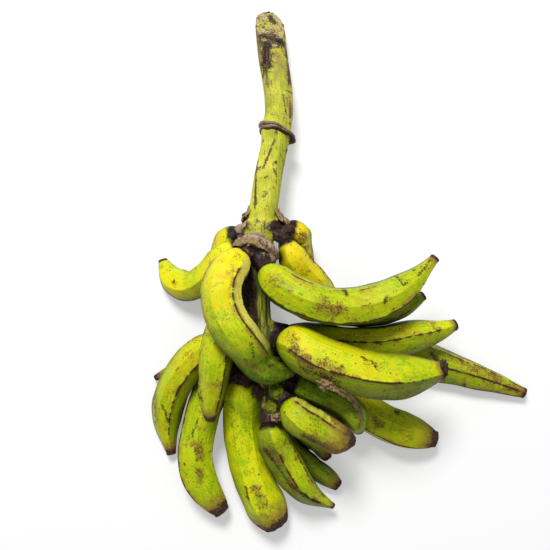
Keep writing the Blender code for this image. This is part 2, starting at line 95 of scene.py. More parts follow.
# Each fruit's looks: how ripe its skin is at the stem and at the tip, how golden and how dull it is, how long
# its dark tip is, the share of its solid's thickness that is left at the tip, and its ridges. A ridge has its
# angle from the top in degrees, how brown it is, and how much paler or darker the face beyond it is. A fruit
# that differs from the rest also says where its taper starts and its ridges end, as shares of its length, how
# much it swells past its stem, how long its black neck is, or how far its tip is drawn in.
# The much darker lower faces of hand_2_fruit_3 and hand_3_fruit_1 are partly darker skin and partly painted
# shade along their lower sides.
LOOKS = {
    "hand_1_fruit_1": dict(ripe=(0.92, 0.88), warm=0.1, dull=0.0, dark_tip=0.006, taper=1.0, ridges=(
        (-100, 0.3, 0.0), (-36, 0.1, 0.0), (36, 0.1, 0.2), (100, 0.4, 0.0), (180, 0.2, -0.3))),
    "hand_1_fruit_2": dict(ripe=(0.84, 0.78), warm=0.0, dull=0.1, dark_tip=0.0035, taper=0.8, ridges=(
        (-120, 0.2, 0.0), (-60, 0.3, 0.1), (8, 0.1, 0.1), (74, 1.0, -0.8), (150, 0.2, -0.3))),
    "hand_1_fruit_3": dict(ripe=(0.95, 0.96), warm=0.3, dull=0.1, dark_tip=0.006, taper=1.0, ridges=(
        (-100, 0.3, -0.3), (-36, 0.2, 0.0), (30, 0.5, 0.1), (90, 0.7, -0.3), (175, 0.2, -0.3))),
    "hand_1_fruit_4": dict(ripe=(0.9, 0.95), warm=0.4, dull=0.0, dark_tip=0.006, taper=1.0, ridges=(
        (-100, 0.4, -0.3), (-34, 0.1, 0.0), (20, 0.1, 0.1), (72, 0.9, -0.5), (160, 0.2, -0.4))),
    "hand_2_fruit_1": dict(ripe=(0.9, 0.15), warm=0.15, dull=0.3, dark_tip=0.006, taper=0.9, neck=0.01,
                           ridge_end=0.74, ridges=(
        (-84, 0.6, 0.0), (-22, 0.15, 0.1), (38, 1.0, 1.1), (72, 1.0, -1.2), (165, 0.2, -0.4))),
    "hand_2_fruit_2": dict(ripe=(0.72, 0.68), warm=0.1, dull=0.9, dark_tip=0.01, taper=0.8, taper_from=0.45,
                           ridge_end=1.2, ridges=(
        (-72, 0.7, 0.1), (-8, 0.1, 0.2), (40, 0.9, -1.0), (105, 0.4, -0.6), (180, 0.2, -0.4))),
    "hand_2_fruit_3": dict(ripe=(0.64, 0.64), warm=0.1, dull=0.7, dark_tip=0.006, taper=0.6, swell=0.05,
                           ridges=(
        (-150, 0.3, -3.0), (-48, 0.9, 0.0), (-2, 0.25, 0.1), (46, 0.5, 0.0), (110, 0.5, -0.3))),
    "hand_2_fruit_4": dict(ripe=(0.3, 0.34), warm=0.0, dull=0.6, dark_tip=0.004, taper=0.85, ridges=(
        (-100, 0.5, 0.0), (-36, 0.5, 0.0), (30, 0.4, 0.1), (100, 0.4, 0.0), (180, 0.2, -0.3))),
    "hand_3_fruit_1": dict(ripe=(0.8, 0.62), warm=0.15, dull=0.3, dark_tip=0.008, taper=0.9, ridges=(
        (-84, 0.7, -2.2), (-14, 1.0, 0.1), (44, 0.15, 0.2), (92, 0.5, 0.0), (180, 0.2, -0.4))),
    "hand_3_fruit_2": dict(ripe=(0.58, 0.72), warm=0.1, dull=0.4, dark_tip=0.006, taper=0.85, swell=0.08,
                           ridges=(
        (-92, 0.6, -0.8), (6, 0.9, 0.2), (54, 0.3, 0.0), (110, 0.4, 0.0), (180, 0.2, -0.4))),
    "hand_3_fruit_3": dict(ripe=(0.42, 0.66), warm=0.2, dull=0.6, dark_tip=0.008, taper=0.85, ridge_end=1.2,
                           ridges=(
        (-80, 1.0, -0.2), (-2, 1.0, -0.6), (48, 0.7, 0.3), (96, 0.6, 0.0), (180, 0.2, -0.4))),
    "hand_3_fruit_4": dict(ripe=(0.72, 0.66), warm=0.1, dull=0.5, dark_tip=0.012, taper=0.8, ridges=(
        (-84, 0.5, 0.0), (-20, 0.2, 0.1), (24, 0.8, -0.7), (84, 0.8, -1.0), (170, 0.2, -0.4))),
    "hand_3_fruit_5": dict(ripe=(0.4, 0.5), warm=0.1, dull=0.7, dark_tip=0.01, taper=0.9, ridges=(
        (-100, 0.5, 0.0), (-36, 0.5, 0.0), (36, 0.8, -0.3), (100, 0.4, 0.0), (180, 0.2, -0.3))),
    "hand_4_fruit_1": dict(ripe=(0.66, 0.72), warm=0.0, dull=0.0, dark_tip=0.019, taper=1.45, tip_sink=0.0044,
                           ridges=(
        (-80, 0.6, -0.1), (-26, 0.1, 0.1), (26, 0.0, 0.1), (82, 0.5, -0.4), (180, 0.2, -0.4))),
    "hand_4_fruit_2": dict(ripe=(0.56, 0.62), warm=0.0, dull=0.4, dark_tip=0.017, taper=1.2, tip_sink=0.0022,
                           ridges=(
        (-56, 1.0, 0.0), (8, 0.2, 0.2), (70, 0.5, -0.3), (140, 0.3, -0.4), (252, 0.6, 0.6))),
    "hand_4_fruit_3": dict(ripe=(0.72, 0.66), warm=0.1, dull=0.4, dark_tip=0.016, taper=1.15, ridges=(
        (-104, 0.5, 0.6), (-48, 1.0, 0.1), (16, 0.2, 0.1), (80, 0.4, 0.0), (165, 0.2, -0.4))),
    "hand_4_fruit_4": dict(ripe=(0.34, 0.4), warm=0.0, dull=0.4, dark_tip=0.005, taper=1.0, ridges=(
        (-90, 0.5, -0.2), (-30, 0.2, 0.0), (24, 0.4, 0.1), (62, 1.0, 0.2), (160, 0.2, -0.3))),
    "hand_4_fruit_5": dict(ripe=(0.6, 0.54), warm=0.1, dull=0.4, dark_tip=0.021, taper=0.8, taper_from=0.55,
                           ridges=(
        (-90, 0.8, -0.5), (-28, 0.2, 0.0), (32, 1.0, 0.7), (62, 1.0, -1.0), (150, 0.2, -0.6))),
    "hand_4_fruit_6": dict(ripe=(0.34, 0.36), warm=0.0, dull=0.6, dark_tip=0.01, taper=1.25, ridges=(
        (-100, 0.5, 0.0), (-36, 0.4, 0.0), (36, 0.4, 0.1), (100, 0.4, 0.0), (180, 0.2, -0.3))),
    "hand_4_fruit_7": dict(ripe=(0.34, 0.36), warm=0.0, dull=0.6, dark_tip=0.01, taper=1.25, ridges=(
        (-100, 0.5, 0.0), (-36, 0.4, 0.0), (36, 0.4, 0.1), (100, 0.4, 0.0), (180, 0.2, -0.3))),
    "hand_4_fruit_8": dict(ripe=(0.66, 0.62), warm=0.1, dull=0.6, dark_tip=0.007, taper=0.48, taper_from=0.45,
                           ridges=(
        (-84, 0.8, -1.8), (-2, 1.0, 0.2), (56, 0.8, 0.1), (110, 0.4, -0.6), (180, 0.2, -0.4))),
}

# Brown knocks and tan scuffs on the upper sides. Each is a line seen from above, from one x and y to another,
# and then its radius, in millimetres.
MARKS = {
    "hand_1_fruit_2": dict(
        brown=[(-208, -28, -206, -29, 7)]),
    "hand_1_fruit_3": dict(
        tan=[(-50, 24, -46, 6, 16)]),
    "hand_2_fruit_1": dict(
        brown=[(-108, -101, -105, -117, 3.5), (-87, -127, -84, -127, 5)],
        tan=[(-112, -122, -100, -130, 8)]),
    "hand_2_fruit_2": dict(
        brown=[(-168, -160, -167, -169, 4), (-159, -122, -158, -125, 3), (-148, -143, -147, -145, 3)]),
    "hand_2_fruit_3": dict(
        brown=[(-97, -60, -53, -80, 11), (-53, -80, 0, -90, 7), (0, -90, 40, -84, 6), (80, -25, 98, -4, 4),
               (-55, -46, -52, -48, 4), (-5, -42, -3, -46, 5), (40, -54, 43, -50, 5),
               (53, -23, 61, -36, 3.5), (61, -36, 66, -34, 3.5)],
        tan=[(-80, -30, -64, -40, 9), (-30, -60, -14, -66, 15)]),
    "hand_3_fruit_1": dict(
        brown=[(14, -116, 20, -121, 3.5), (25, -122, 31, -128, 4), (-50, -130, -12, -144, 6)],
        tan=[(-52, -118, -12, -132, 14), (-66, -95, -52, -124, 11)]),
    "hand_3_fruit_2": dict(
        brown=[(38, -102, 42, -104, 3.5)]),
    "hand_3_fruit_3": dict(
        brown=[(112, -116, 126, -140, 8), (126, -140, 130, -150, 5), (155, -155, 156, -160, 4)],
        tan=[(150, -128, 190, -146, 12), (190, -146, 225, -164, 10)]),
    "hand_3_fruit_4": dict(
        brown=[(-219, -178, -212, -202, 3)],
        tan=[(-229, -168, -228, -200, 7)]),
    "hand_4_fruit_1": dict(
        brown=[(-117, -276, -114, -292, 3.5)],
        tan=[(-104, -280, -97, -296, 12)]),
    "hand_4_fruit_2": dict(
        brown=[(-176, -196, -179, -204, 4), (-179, -204, -183, -216, 3.5), (-192, -250, -191, -252, 4)],
        tan=[(-178, -226, -174, -240, 10), (-173, -258, -172, -270, 7)]),
    "hand_4_fruit_3": dict(
        brown=[(67, -188, 71, -189, 5), (59, -210, 61, -210, 3)],
        tan=[(40, -194, 48, -202, 8)]),
    "hand_4_fruit_5": dict(
        brown=[(-24, -214, -14, -218, 7), (0, -200, 4, -198, 7), (-50, -206, -12, -226, 6),
               (-60, -160, -30, -172, 4)],
        tan=[(-42, -206, -30, -212, 9), (-12, -190, 2, -200, 8)]),
    "hand_4_fruit_8": dict(
        brown=[(-70, -217, -70, -220, 6), (-57, -240, -56, -242, 4), (-94, -226, -62, -272, 5),
               (-62, -272, -30, -296, 5)],
        tan=[(-86, -226, -76, -246, 10), (-68, -262, -56, -280, 7)]),
}


def solid_of(node):
    """A copy of a node's solid, with its loose triangles joined."""
    solid = bmesh.new()
    solid.from_mesh(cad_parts[node].data)
    bmesh.ops.remove_doubles(solid, verts=solid.verts[:], dist=MERGE)
    return solid


def trace_line(node):
    """A fruit's middle line from stem to tip and its radius there, from the rings of its solid's points."""
    solid = solid_of(node)
    solid.verts.index_update()
    tip = next(vert for vert in solid.verts if len(vert.link_edges) == TIP_EDGES)
    line, radii, ring, reached = [], [], [tip], {tip}
    while ring:
        beside = {edge.other_vert(vert) for vert in ring for edge in vert.link_edges} - reached
        ring = sorted(beside, key=lambda vert: vert.index)
        reached |= beside
        if ring:
            spots = np.array([vert.co for vert in ring])
            line.append(spots.mean(axis=0))
            radii.append(np.linalg.norm(spots - line[-1], axis=1).mean())
    line = np.array(line[::-1] + [tip.co])
    solid.free()
    return line, np.array(radii[::-1] + radii[:1])


def marks_on(line):
    """The distance of each point of a line from its start."""
    return np.concatenate([[0.0], np.cumsum(np.linalg.norm(np.diff(line, axis=0), axis=1))])


def curved(distances, marks, values):
    """Values between those at the marks, on a smooth curve through them."""
    before = np.clip(np.searchsorted(marks, distances, side="right") - 1, 0, len(marks) - 2)
    slope = np.gradient(values, marks, axis=0)
    span = marks[before + 1] - marks[before]
    at = np.clip((distances - marks[before]) / span, 0.0, 1.0)
    if values.ndim == 2:
        span, at = span[:, None], at[:, None]
    return ((2.0 * at**3 - 3.0 * at**2 + 1.0) * values[before]
            + (at**3 - 2.0 * at**2 + at) * span * slope[before]
            + (3.0 * at**2 - 2.0 * at**3) * values[before + 1]
            + (at**3 - at**2) * span * slope[before + 1])


def frames_on(line, distances):
    """Points, sideways vectors and upward vectors at distances along a line, free of needless turning."""
    marks = marks_on(line)
    fine = np.linspace(0.0, marks[-1], int(marks[-1] / FRAME_STEP))
    dense = curved(fine, marks, line)
    ahead = np.gradient(dense, fine, axis=0)
    for _ in range(LINE_PASSES):
        ahead[1:-1] = (ahead[:-2] + ahead[1:-1] + ahead[2:]) / 3.0
    ahead /= np.linalg.norm(ahead, axis=1)[:, None]
    middle = len(fine) // 2
    ups = np.zeros_like(ahead)
    ups[middle] = (0.0, 0.0, 1.0)
    for index in list(range(middle, len(fine))) + list(range(middle - 1, -1, -1)):
        before = ups[middle] if index == middle else ups[index - 1 if index > middle else index + 1]
        ups[index] = before - ahead[index] * before.dot(ahead[index])
        ups[index] /= np.linalg.norm(ups[index])
    ups = np.stack([np.interp(distances, fine, ups[:, axis]) for axis in range(3)], axis=1)
    ahead = np.stack([np.interp(distances, fine, ahead[:, axis]) for axis in range(3)], axis=1)
    past = distances - np.clip(distances, 0.0, marks[-1])
    points = curved(distances, marks, line) + ahead * past[:, None]
    return points, np.cross(ups, ahead), ups


def add_layer(data, layer, values):
    """A number or a vector for each point of a mesh, under a name that its material reads."""
    vector = values.ndim == 2
    made = data.attributes.new(layer, "FLOAT_VECTOR" if vector else "FLOAT", "POINT")
    plain = np.ascontiguousarray(values, dtype=np.float32)
    made.data.foreach_set("vector" if vector else "value", plain.ravel())


def link_mesh(shape, data):
    """A new object, smooth all over, whose mesh is the finished shape with its faces turned outwards."""
    bmesh.ops.recalc_face_normals(shape, faces=shape.faces[:])
    shape.to_mesh(data)
    shape.free()
    data.shade_smooth()
    piece = bpy.data.objects.new(data.name, data)
    bpy.context.scene.collection.objects.link(piece)
    return piece


def rolled_sheet(name, rings, columns, place, layers):
    """A closed skin: a sheet of rings by columns, put in place by a formula and welded along its seam."""
    sheet = bmesh.new()
    sheet.loops.layers.uv.new("skin")
    bmesh.ops.create_grid(sheet, x_segments=rings - 1, y_segments=columns, size=1.0, calc_uvs=True)
    data = bpy.data.meshes.new(name)
    sheet.to_mesh(data)
    sheet.free()
    flat = np.zeros(len(data.vertices) * 3)
    data.vertices.foreach_get("co", flat)
    flat = flat.reshape(-1, 3)
    ring = np.rint((flat[:, 0] + 1.0) / 2.0 * (rings - 1)).astype(int)
    column = np.rint((flat[:, 1] + 1.0) / 2.0 * columns).astype(int)
    placed, values = place(ring, column)
    data.vertices.foreach_set("co", placed.ravel())
    for layer in layers:
        add_layer(data, layer, values[layer])
    sheet = bmesh.new()
    sheet.from_mesh(data)
    bmesh.ops.remove_doubles(sheet, verts=sheet.verts[:], dist=MERGE)
    return link_mesh(sheet, data)


def smooth(low, high, values):
    """A share that rises softly from 0 at low to 1 at high."""
    share = np.clip((values - low) / (high - low), 0.0, 1.0)
    return share * share * (3.0 - 2.0 * share)


def mark_share(places, marks):
    """How far each place lies inside the marks: 1 on a mark's line, 0 from its radius on."""
    share = np.zeros(len(places))
    for mark in marks:
        mark = np.array(mark) / MILLIMETRES
        start, along, radius = mark[:2], mark[2:4] - mark[:2], mark[4]
        at = np.clip((places[:, :2] - start) @ along / max(along @ along, MERGE), 0.0, 1.0)
        apart = np.linalg.norm(places[:, :2] - start - at[:, None] * along, axis=1)
        share = np.maximum(share, np.clip(1.0 - apart / radius, 0.0, 1.0))
    return share


def others_than(node):
    """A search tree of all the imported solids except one."""
    others = bmesh.new()
    for name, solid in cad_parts.items():
        if name != node:
            others.from_mesh(solid.data)
    tree = BVHTree.FromBMesh(others)
    others.free()
    return tree


def rings_along(line, thickness, looks):
    """Each ring's distance from the stem, its radius, and how far it is part of the two closed ends."""
    marks = marks_on(line)
    length = float(marks[-1])
    rounding = ROOT_ROUND * thickness[0]
    bend = np.linspace(0.0, math.pi / 2, ROOT_RINGS)[:-1]
    end = length - looks.get("tip_sink", TIP_SINK)
    body = np.linspace(rounding - ROOT_OVERLAP, end - BODY_END, int(length / RING_STEP))
    ahead, shares = np.array(TIP_PROFILE).T
    distance = np.concatenate([rounding * (1.0 - np.cos(bend)) - ROOT_OVERLAP, body, end + ahead])
    factor = np.concatenate([np.sin(bend), np.ones(len(body)), shares])
    root_pole = np.concatenate([1.0 - np.sin(bend), np.zeros(len(body) + len(shares))])
    on_tip = np.concatenate([np.zeros(len(bend) + len(body)), np.ones(len(shares))])
    taper = smooth(looks.get("taper_from", TAPER_FROM), 1.0, distance / length)
    factor = factor * (1.0 - (1.0 - looks["taper"]) * taper)
    factor = factor * (1.0 + looks.get("swell", 0.0) * smooth(*SWELL_SPAN, distance / length))
    return distance, curved(distance, marks, thickness) * factor, factor, root_pole, on_tip


def faces_round(looks):
    """Each column's angle, its angle from the nearest ridge, and its flatness, browning and tint."""
    turns, brownness, tints = np.array(sorted(looks["ridges"])).T
    turns = np.radians(turns)
    turns = np.append(turns, turns[0] + 2.0 * math.pi)
    spot = np.arange(RIDGES * FACE_COLUMNS + 1) / FACE_COLUMNS
    nearest = np.rint(spot).astype(int)
    off = spot - nearest
    spot = nearest + np.sign(off) * 0.5 * (2.0 * np.abs(off)) ** COLUMN_CROWDING
    face = np.minimum(spot.astype(int), RIDGES - 1)
    angle = np.interp(spot, np.arange(RIDGES + 1), turns)
    half = (turns[face + 1] - turns[face]) / 2.0
    from_middle = (angle - (turns[face + 1] + turns[face]) / 2.0) * np.minimum(1.0, WIDEST_FACE / half)
    polygon = np.cos(np.minimum(half, WIDEST_FACE)) / np.cos(from_middle)
    between_faces = (tints[nearest % RIDGES] + tints[(nearest - 1) % RIDGES]) / 2.0
    tint = np.where(spot == nearest, between_faces, tints[face])
    return angle, angle - turns[nearest], polygon, brownness[nearest % RIDGES], tint


def grow_fruit(node, looks, rng):
    """One fruit's skin, swept along the middle line of its solid, with its ridges and its two ends."""
    line, thickness = trace_line(node)
    length = float(marks_on(line)[-1])
    distance, radius, factor, root_pole, on_tip = rings_along(line, thickness, looks)
    points, sides, ups = frames_on(line, distance)
    angles, from_ridge, polygon, brownness, tints = faces_round(looks)
    waves = rng.uniform(0.0, 2.0 * math.pi, 6)
    twist = math.radians(rng.uniform(-TWIST, TWIST))
    seed = rng.uniform(0.0, 10.0)
    ripe_root, ripe_tip = looks["ripe"]
    ridge_end = looks.get("ridge_end", RIDGE_END)
    marks = MARKS.get(node, {})
    others = others_than(node)

    def place(ring, column):
        share = np.clip(distance[ring] / length, 0.0, 1.0)
        angle, brown, tint = angles[column], brownness[column], tints[column]
        turned = angle + twist * (share - 0.5) + SWAY * np.sin(7.0 * share + waves[0])
        sharp = FLATNESS * smooth(0.0, 0.22, share) * (1.0 - 0.3 * smooth(0.9, 1.0, share))
        form = 1.0 - sharp + sharp * polygon[column] / FLAT_MIDDLE
        ridge_left = 1.0 - 0.85 * smooth(ridge_end - RIDGE_FADE, ridge_end, share)
        crest = CREST * (0.3 + brown) * np.exp(-(from_ridge[column] / CREST_WIDTH) ** 2) * ridge_left
        ripple = sum(size * np.sin(along * share + across * angle + wave)
                     for (size, along, across), wave in zip(RIPPLES, waves[2:5]))
        ragged = on_tip[ring] * RAGGED_TIP * np.sin(5.0 * angle + waves[5]) * np.sin(3.0 * angle + waves[1])
        reach = radius[ring] * (form + crest * smooth(0.02, 0.2, share) + ripple + ragged)
        outward = np.sin(turned)[:, None] * sides[ring] + np.cos(turned)[:, None] * ups[ring]
        places = points[ring] + reach[:, None] * outward
        dents = np.array([noise.noise(Vector(spot) * DENT_SCALE) for spot in places]) * DENT
        places += outward * (dents * np.minimum(factor[ring], 1.0))[:, None]
        places[:, 2] = np.clip(places[:, 2], 0.0, cad_box[1][2] - MERGE)
        # Painted shade: how close the skin lies to another solid or to the floor, for the shade painted in
        # the gaps and at the contacts.
        apart = np.array([others.find_nearest(spot, NEAR)[3] or NEAR for spot in places])
        near = np.maximum(1.0 - apart / NEAR, smooth(NEAR, 0.0, places[:, 2]))
        top = smooth(-0.5, 0.0, outward[:, 2])
        unfaded = 1.0 - smooth(ridge_end - 0.15, ridge_end - 0.03, share)
        return places, {
            "past_neck": distance[ring] - looks.get("neck", NECK) - 0.02 * root_pole[ring],
            "tip_share": (length - distance[ring]) * (1.0 - on_tip[ring]) / looks["dark_tip"],
            "ridge_gap": np.abs(from_ridge[column]) * reach,
            "ridge_brown": brown * smooth(0.06, 0.2, share) * ridge_left,
            # The upper side is made yellower, partly the real sun-ripened side and partly painted light from
            # above; skin near other solids is made greener, as painted shade.
            "ripe": (ripe_root + (ripe_tip - ripe_root) * smooth(0.15, 0.9, share) + 0.12 * tint
                     + 0.1 * outward[:, 2] - 0.08 * near),
            "warm": np.full(len(ring), looks["warm"]),
            "dull": looks["dull"] - 0.25 * tint,
            "bruise": mark_share(places, marks.get("brown", ())) * top,
            "rub": mark_share(places, marks.get("tan", ())) * top,
            "near": near,
            # Painted shade: how far the skin faces downwards, for the shade painted on the lower sides.
            "under": smooth(0.6, -0.4, outward[:, 2]),
            "pale": np.clip(tint - 0.35, 0.0, 1.0) * unfaded,
            "grain": np.stack([0.12 * distance[ring] + seed, np.sin(angle) * radius[ring],
                               np.cos(angle) * radius[ring]], axis=1),
        }

    return rolled_sheet(node + "_skin", len(distance), RIDGES * FACE_COLUMNS, place, FRUIT_LAYERS)


# The fruit's skin
# Waxy green skin that turns yellow from within. Ridges rub brown and dry, sap and knocks leave dark flecks
# and scars, and the tip is dry black cork. The shade in the gaps between the fruit, at their contacts and
# on their lower sides is painted into the colour.
class Reading:
    """A shader socket that takes part in sums like a number."""

    def __init__(self, finish, socket):
        self.finish = finish
        self.socket = socket

    def sum_with(self, operation, first, second):
        return self.finish.node("ShaderNodeMath", {"operation": operation}, {0: first, 1: second})

    def __add__(self, other):
        return self.sum_with("ADD", self, other)

    def __sub__(self, other):
        return self.sum_with("SUBTRACT", self, other)

    def __rsub__(self, other):
        return self.sum_with("SUBTRACT", other, self)

    def __mul__(self, other):
        return self.sum_with("MULTIPLY", self, other)

    __radd__ = __add__
    __rmul__ = __mul__

    def size(self):
        """The reading without its sign."""
        return self.finish.node("ShaderNodeMath", {"operation": "ABSOLUTE"}, {0: self})

    def swing(self, amount):
        """A noise's swing to both sides of its middle value, times an amount."""
        return (self - 0.5) * amount

    def rise(self, low, high):
        """A share that rises softly from 0 at low to 1 at high."""
        return self.finish.node("ShaderNodeMapRange", {"interpolation_type": "SMOOTHSTEP"},
                                {"Value": self, "From Min": low, "From Max": high})


class Finish:
    """A material in the making, whose node method adds a node with its settings and its inputs."""

    def __init__(self, name, **constants):
        self.material = bpy.data.materials.new(name)
        self.material.use_nodes = True
        self.tree = self.material.node_tree
        self.shader = self.tree.nodes["Principled BSDF"]
        self.colour = None
        for socket, value in constants.items():
            self.shader.inputs[socket.replace("_", " ")].default_value = value

    def join(self, value, socket):
        if isinstance(value, Reading):
            self.tree.links.new(value.socket, socket)
        else:
            socket.default_value = value

    def node(self, kind, settings, inputs, output=0):
        made = self.tree.nodes.new(kind)
        stops = settings.pop("stops", None)
        for setting, value in settings.items():
            setattr(made, setting, value)
        if stops:
            while len(made.color_ramp.elements) < len(stops):
                made.color_ramp.elements.new(1.0)
            for element, (position, colour) in zip(made.color_ramp.elements, stops):
                element.position = position
                element.color = (*colour, 1.0)
        for name, value in inputs.items():
            self.join(value, made.inputs[name])
        return Reading(self, made.outputs[output])

    def place(self):
        return self.node("ShaderNodeTexCoord", {}, {}, "Object")

    def stretched(self, scale):
        """Object coordinates squeezed by a different amount along each axis."""
        return self.node("ShaderNodeVectorMath", {"operation": "MULTIPLY"}, {0: self.place(), 1: scale})

    def layer(self, name, output="Fac"):
        return self.node("ShaderNodeAttribute", {"attribute_name": name}, {}, output)

    def grain(self, where, scale, detail=3.0, roughness=0.55):
        return self.node("ShaderNodeTexNoise", {}, {"Vector": where, "Scale": scale, "Detail": detail,
                                                    "Roughness": roughness})

    def cells(self, where, scale):
        """How far a place is from the nearest of many scattered points."""
        return self.node("ShaderNodeTexVoronoi", {}, {"Vector": where, "Scale": scale}, "Distance")

    def ramp(self, reading, stops):
        return self.node("ShaderNodeValToRGB", {"stops": stops}, {"Fac": reading})

    def paint(self, under, mask, over):
        """One colour laid over another where the mask says."""
        over = over if isinstance(over, Reading) else (*over, 1.0)
        return self.node("ShaderNodeMix", {"data_type": "RGBA", "clamp_factor": True},
                         {0: mask, 6: under, 7: over}, 2)

    def coat(self, mask, over):
        """One more colour laid over the material's own where the mask says."""
        self.colour = self.paint(self.colour, mask, over)

    def finish(self, roughness, height, strength, distance):
        self.join(self.colour, self.shader.inputs["Base Color"])
        self.join(roughness, self.shader.inputs["Roughness"])
        bump = self.node("ShaderNodeBump", {}, {"Height": height, "Strength": strength, "Distance": distance})
        self.join(bump, self.shader.inputs["Normal"])
        return self.material


SKIN_STOPS = [
    (0.0, (0.02, 0.058, 0.002)), (0.26, (0.085, 0.19, 0.003)), (0.48, (0.27, 0.4, 0.004)),
    (0.68, (0.47, 0.6, 0.003)), (0.84, (0.69, 0.7, 0.005)), (1.0, (0.84, 0.68, 0.007)),
]
GOLDEN = (0.66, 0.4, 0.006)
DULL_OLIVE = (0.12, 0.115, 0.012)
PAINTED_SHADE_OLIVE = (0.03, 0.034, 0.004)
PAINTED_CONTACT_SHADOW = (0.008, 0.01, 0.002)
PALE_FLESH = (0.72, 0.64, 0.16)
SCAR_BROWN = (0.04, 0.018, 0.007)
SCAR_TAN = (0.27, 0.145, 0.025)
TIP_BLACK = (0.014, 0.008, 0.006)
TIP_CORK = (0.13, 0.065, 0.045)


def plantain_skin():
    skin = Finish("plantain_skin", IOR=1.45, Specular_IOR_Level=0.18)
    place = skin.place()
    mottle = skin.grain(place, 24.0, 3.0)
    patches = skin.grain(place, 95.0, 4.0, 0.65)
    fine = skin.grain(place, 480.0, 4.0, 0.7)
    streaks = skin.grain(skin.layer("grain", "Vector"), 420.0, 4.0, 0.6)
    brown = skin.layer("ridge_brown")
    near = skin.layer("near")
    ripe = (skin.layer("ripe") + mottle.rise(0.3, 0.7).swing(0.22) + patches.rise(0.3, 0.7).swing(0.2)
            + fine.rise(0.3, 0.7).swing(0.2) + streaks.rise(0.3, 0.7).swing(0.16) - 0.03)
    skin.colour = skin.ramp(ripe, SKIN_STOPS)
    skin.coat(skin.layer("warm") * patches.rise(0.3, 0.7) * 0.8, GOLDEN)
    stain = skin.layer("dull") * (mottle * 0.5 + patches * 0.5).rise(0.42, 0.62)
    skin.coat(stain * 0.6, DULL_OLIVE)
    skin.coat(skin.layer("pale") * fine.rise(0.2, 0.6), PALE_FLESH)
    # Painted shade: the gaps, the contacts and the lower sides are painted deep olive, and the closest
    # contacts near-black.
    shade = near.rise(0.05, 1.0) * (0.6 + 0.7 * patches) + skin.layer("under") * (0.45 + 0.9 * patches)
    skin.coat(shade, PAINTED_SHADE_OLIVE)
    skin.coat(near.rise(0.55, 1.0) * 0.8, PAINTED_CONTACT_SHADOW)

    wear = patches.rise(0.35, 0.6) * 0.5 + fine.rise(0.35, 0.65) * 0.5
    gap = skin.layer("ridge_gap") + fine.swing(0.003) + patches.swing(0.002)
    strength = brown * 1.25 - 1.1 * (1.0 - wear) + mottle.swing(2.0) + patches.swing(1.4)
    line = (1.0 - (gap - 0.0011 * strength.rise(0.1, 1.0)).rise(-0.0003, 0.001)) * strength.rise(0.0, 0.4)
    beside = (1.0 - gap.rise(0.001, 0.008)) * brown.rise(0.1, 0.9)
    rubbed = beside * (patches + fine.swing(0.6)).rise(0.44, 0.6)
    specks = (1.0 - skin.cells(place, 190.0).rise(0.1, 0.24)) * patches.rise(0.44, 0.56)
    spots = (1.0 - (skin.cells(place, 62.0) + fine.swing(0.08)).rise(0.05, 0.1)) * mottle.rise(0.44, 0.52)
    threads = 1.0 - (skin.grain(place, 120.0, 5.0, 0.6) - 0.5).size().rise(0.004, 0.016)
    cracks = threads * skin.grain(place, 34.0, 2.0).rise(0.53, 0.62)
    scuffs = skin.grain(place, 70.0, 8.0, 0.75).rise(0.56, 0.62)
    scuffs = scuffs * skin.grain(place, 16.0, 2.0).rise(0.48, 0.58)
    bruise = (skin.layer("bruise") * 0.9 + patches.swing(1.2) + fine.swing(3.0)).rise(0.4, 0.82)
    rub = ((skin.layer("rub") * 0.55 + patches.swing(2.6) + fine.swing(1.6)).rise(0.25, 0.6)
           * skin.layer("rub").rise(0.0, 0.3))
    skin.coat(rubbed * 0.8, SCAR_TAN)
    skin.coat(scuffs * 0.65, SCAR_TAN)
    soft_rub = (skin.layer("rub") * 0.9 + patches.swing(2.0) + fine.swing(0.8)).rise(0.1, 0.9)
    skin.coat(soft_rub * skin.layer("rub").rise(0.0, 0.4) * 0.6, SCAR_TAN)
    skin.coat(rub * 0.4, SCAR_TAN)
    skin.coat(rub * (threads * 0.6 + fine.rise(0.48, 0.6) * 0.7), SCAR_BROWN)
    skin.coat(cracks * 0.75, SCAR_BROWN)
    skin.coat(specks * 0.8, SCAR_BROWN)
    skin.coat(spots * 0.9, SCAR_BROWN)
    skin.coat(line * 0.95, SCAR_BROWN)
    skin.coat(bruise * 0.9, SCAR_BROWN)
    tip_edge = skin.layer("tip_share") + fine.swing(0.9) + patches.swing(1.3)
    skin.coat((1.0 - tip_edge.rise(0.9, 2.2)) * 0.8, SCAR_TAN)
    cork = 1.0 - tip_edge.rise(0.6, 1.1)
    skin.coat(cork, skin.ramp(fine, [(0.35, TIP_BLACK), (0.65, TIP_CORK)]))
    neck_edge = skin.layer("past_neck") + fine.swing(0.006) + patches.swing(0.008)
    skin.coat(1.0 - neck_edge.rise(-0.002, 0.002), TIP_BLACK)
    roughness = 0.42 + 0.16 * fine + 0.3 * (line + cork) + 0.15 * bruise
    height = (fine * 0.5 + streaks * 0.5 + patches * 0.8 - line * 0.6 - cracks * 0.3
              + cork * fine * 2.0 - bruise * 0.4 - rub * 0.2)
    return skin.finish(roughness, height, 0.45, 0.0009)


SKIN = plantain_skin()
rng = np.random.default_rng(7)
for node, looks in LOOKS.items():
    fruit = grow_fruit(node, looks, rng)
    fruit.data.materials.append(SKIN)
    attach(fruit, "root")
    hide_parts(node)

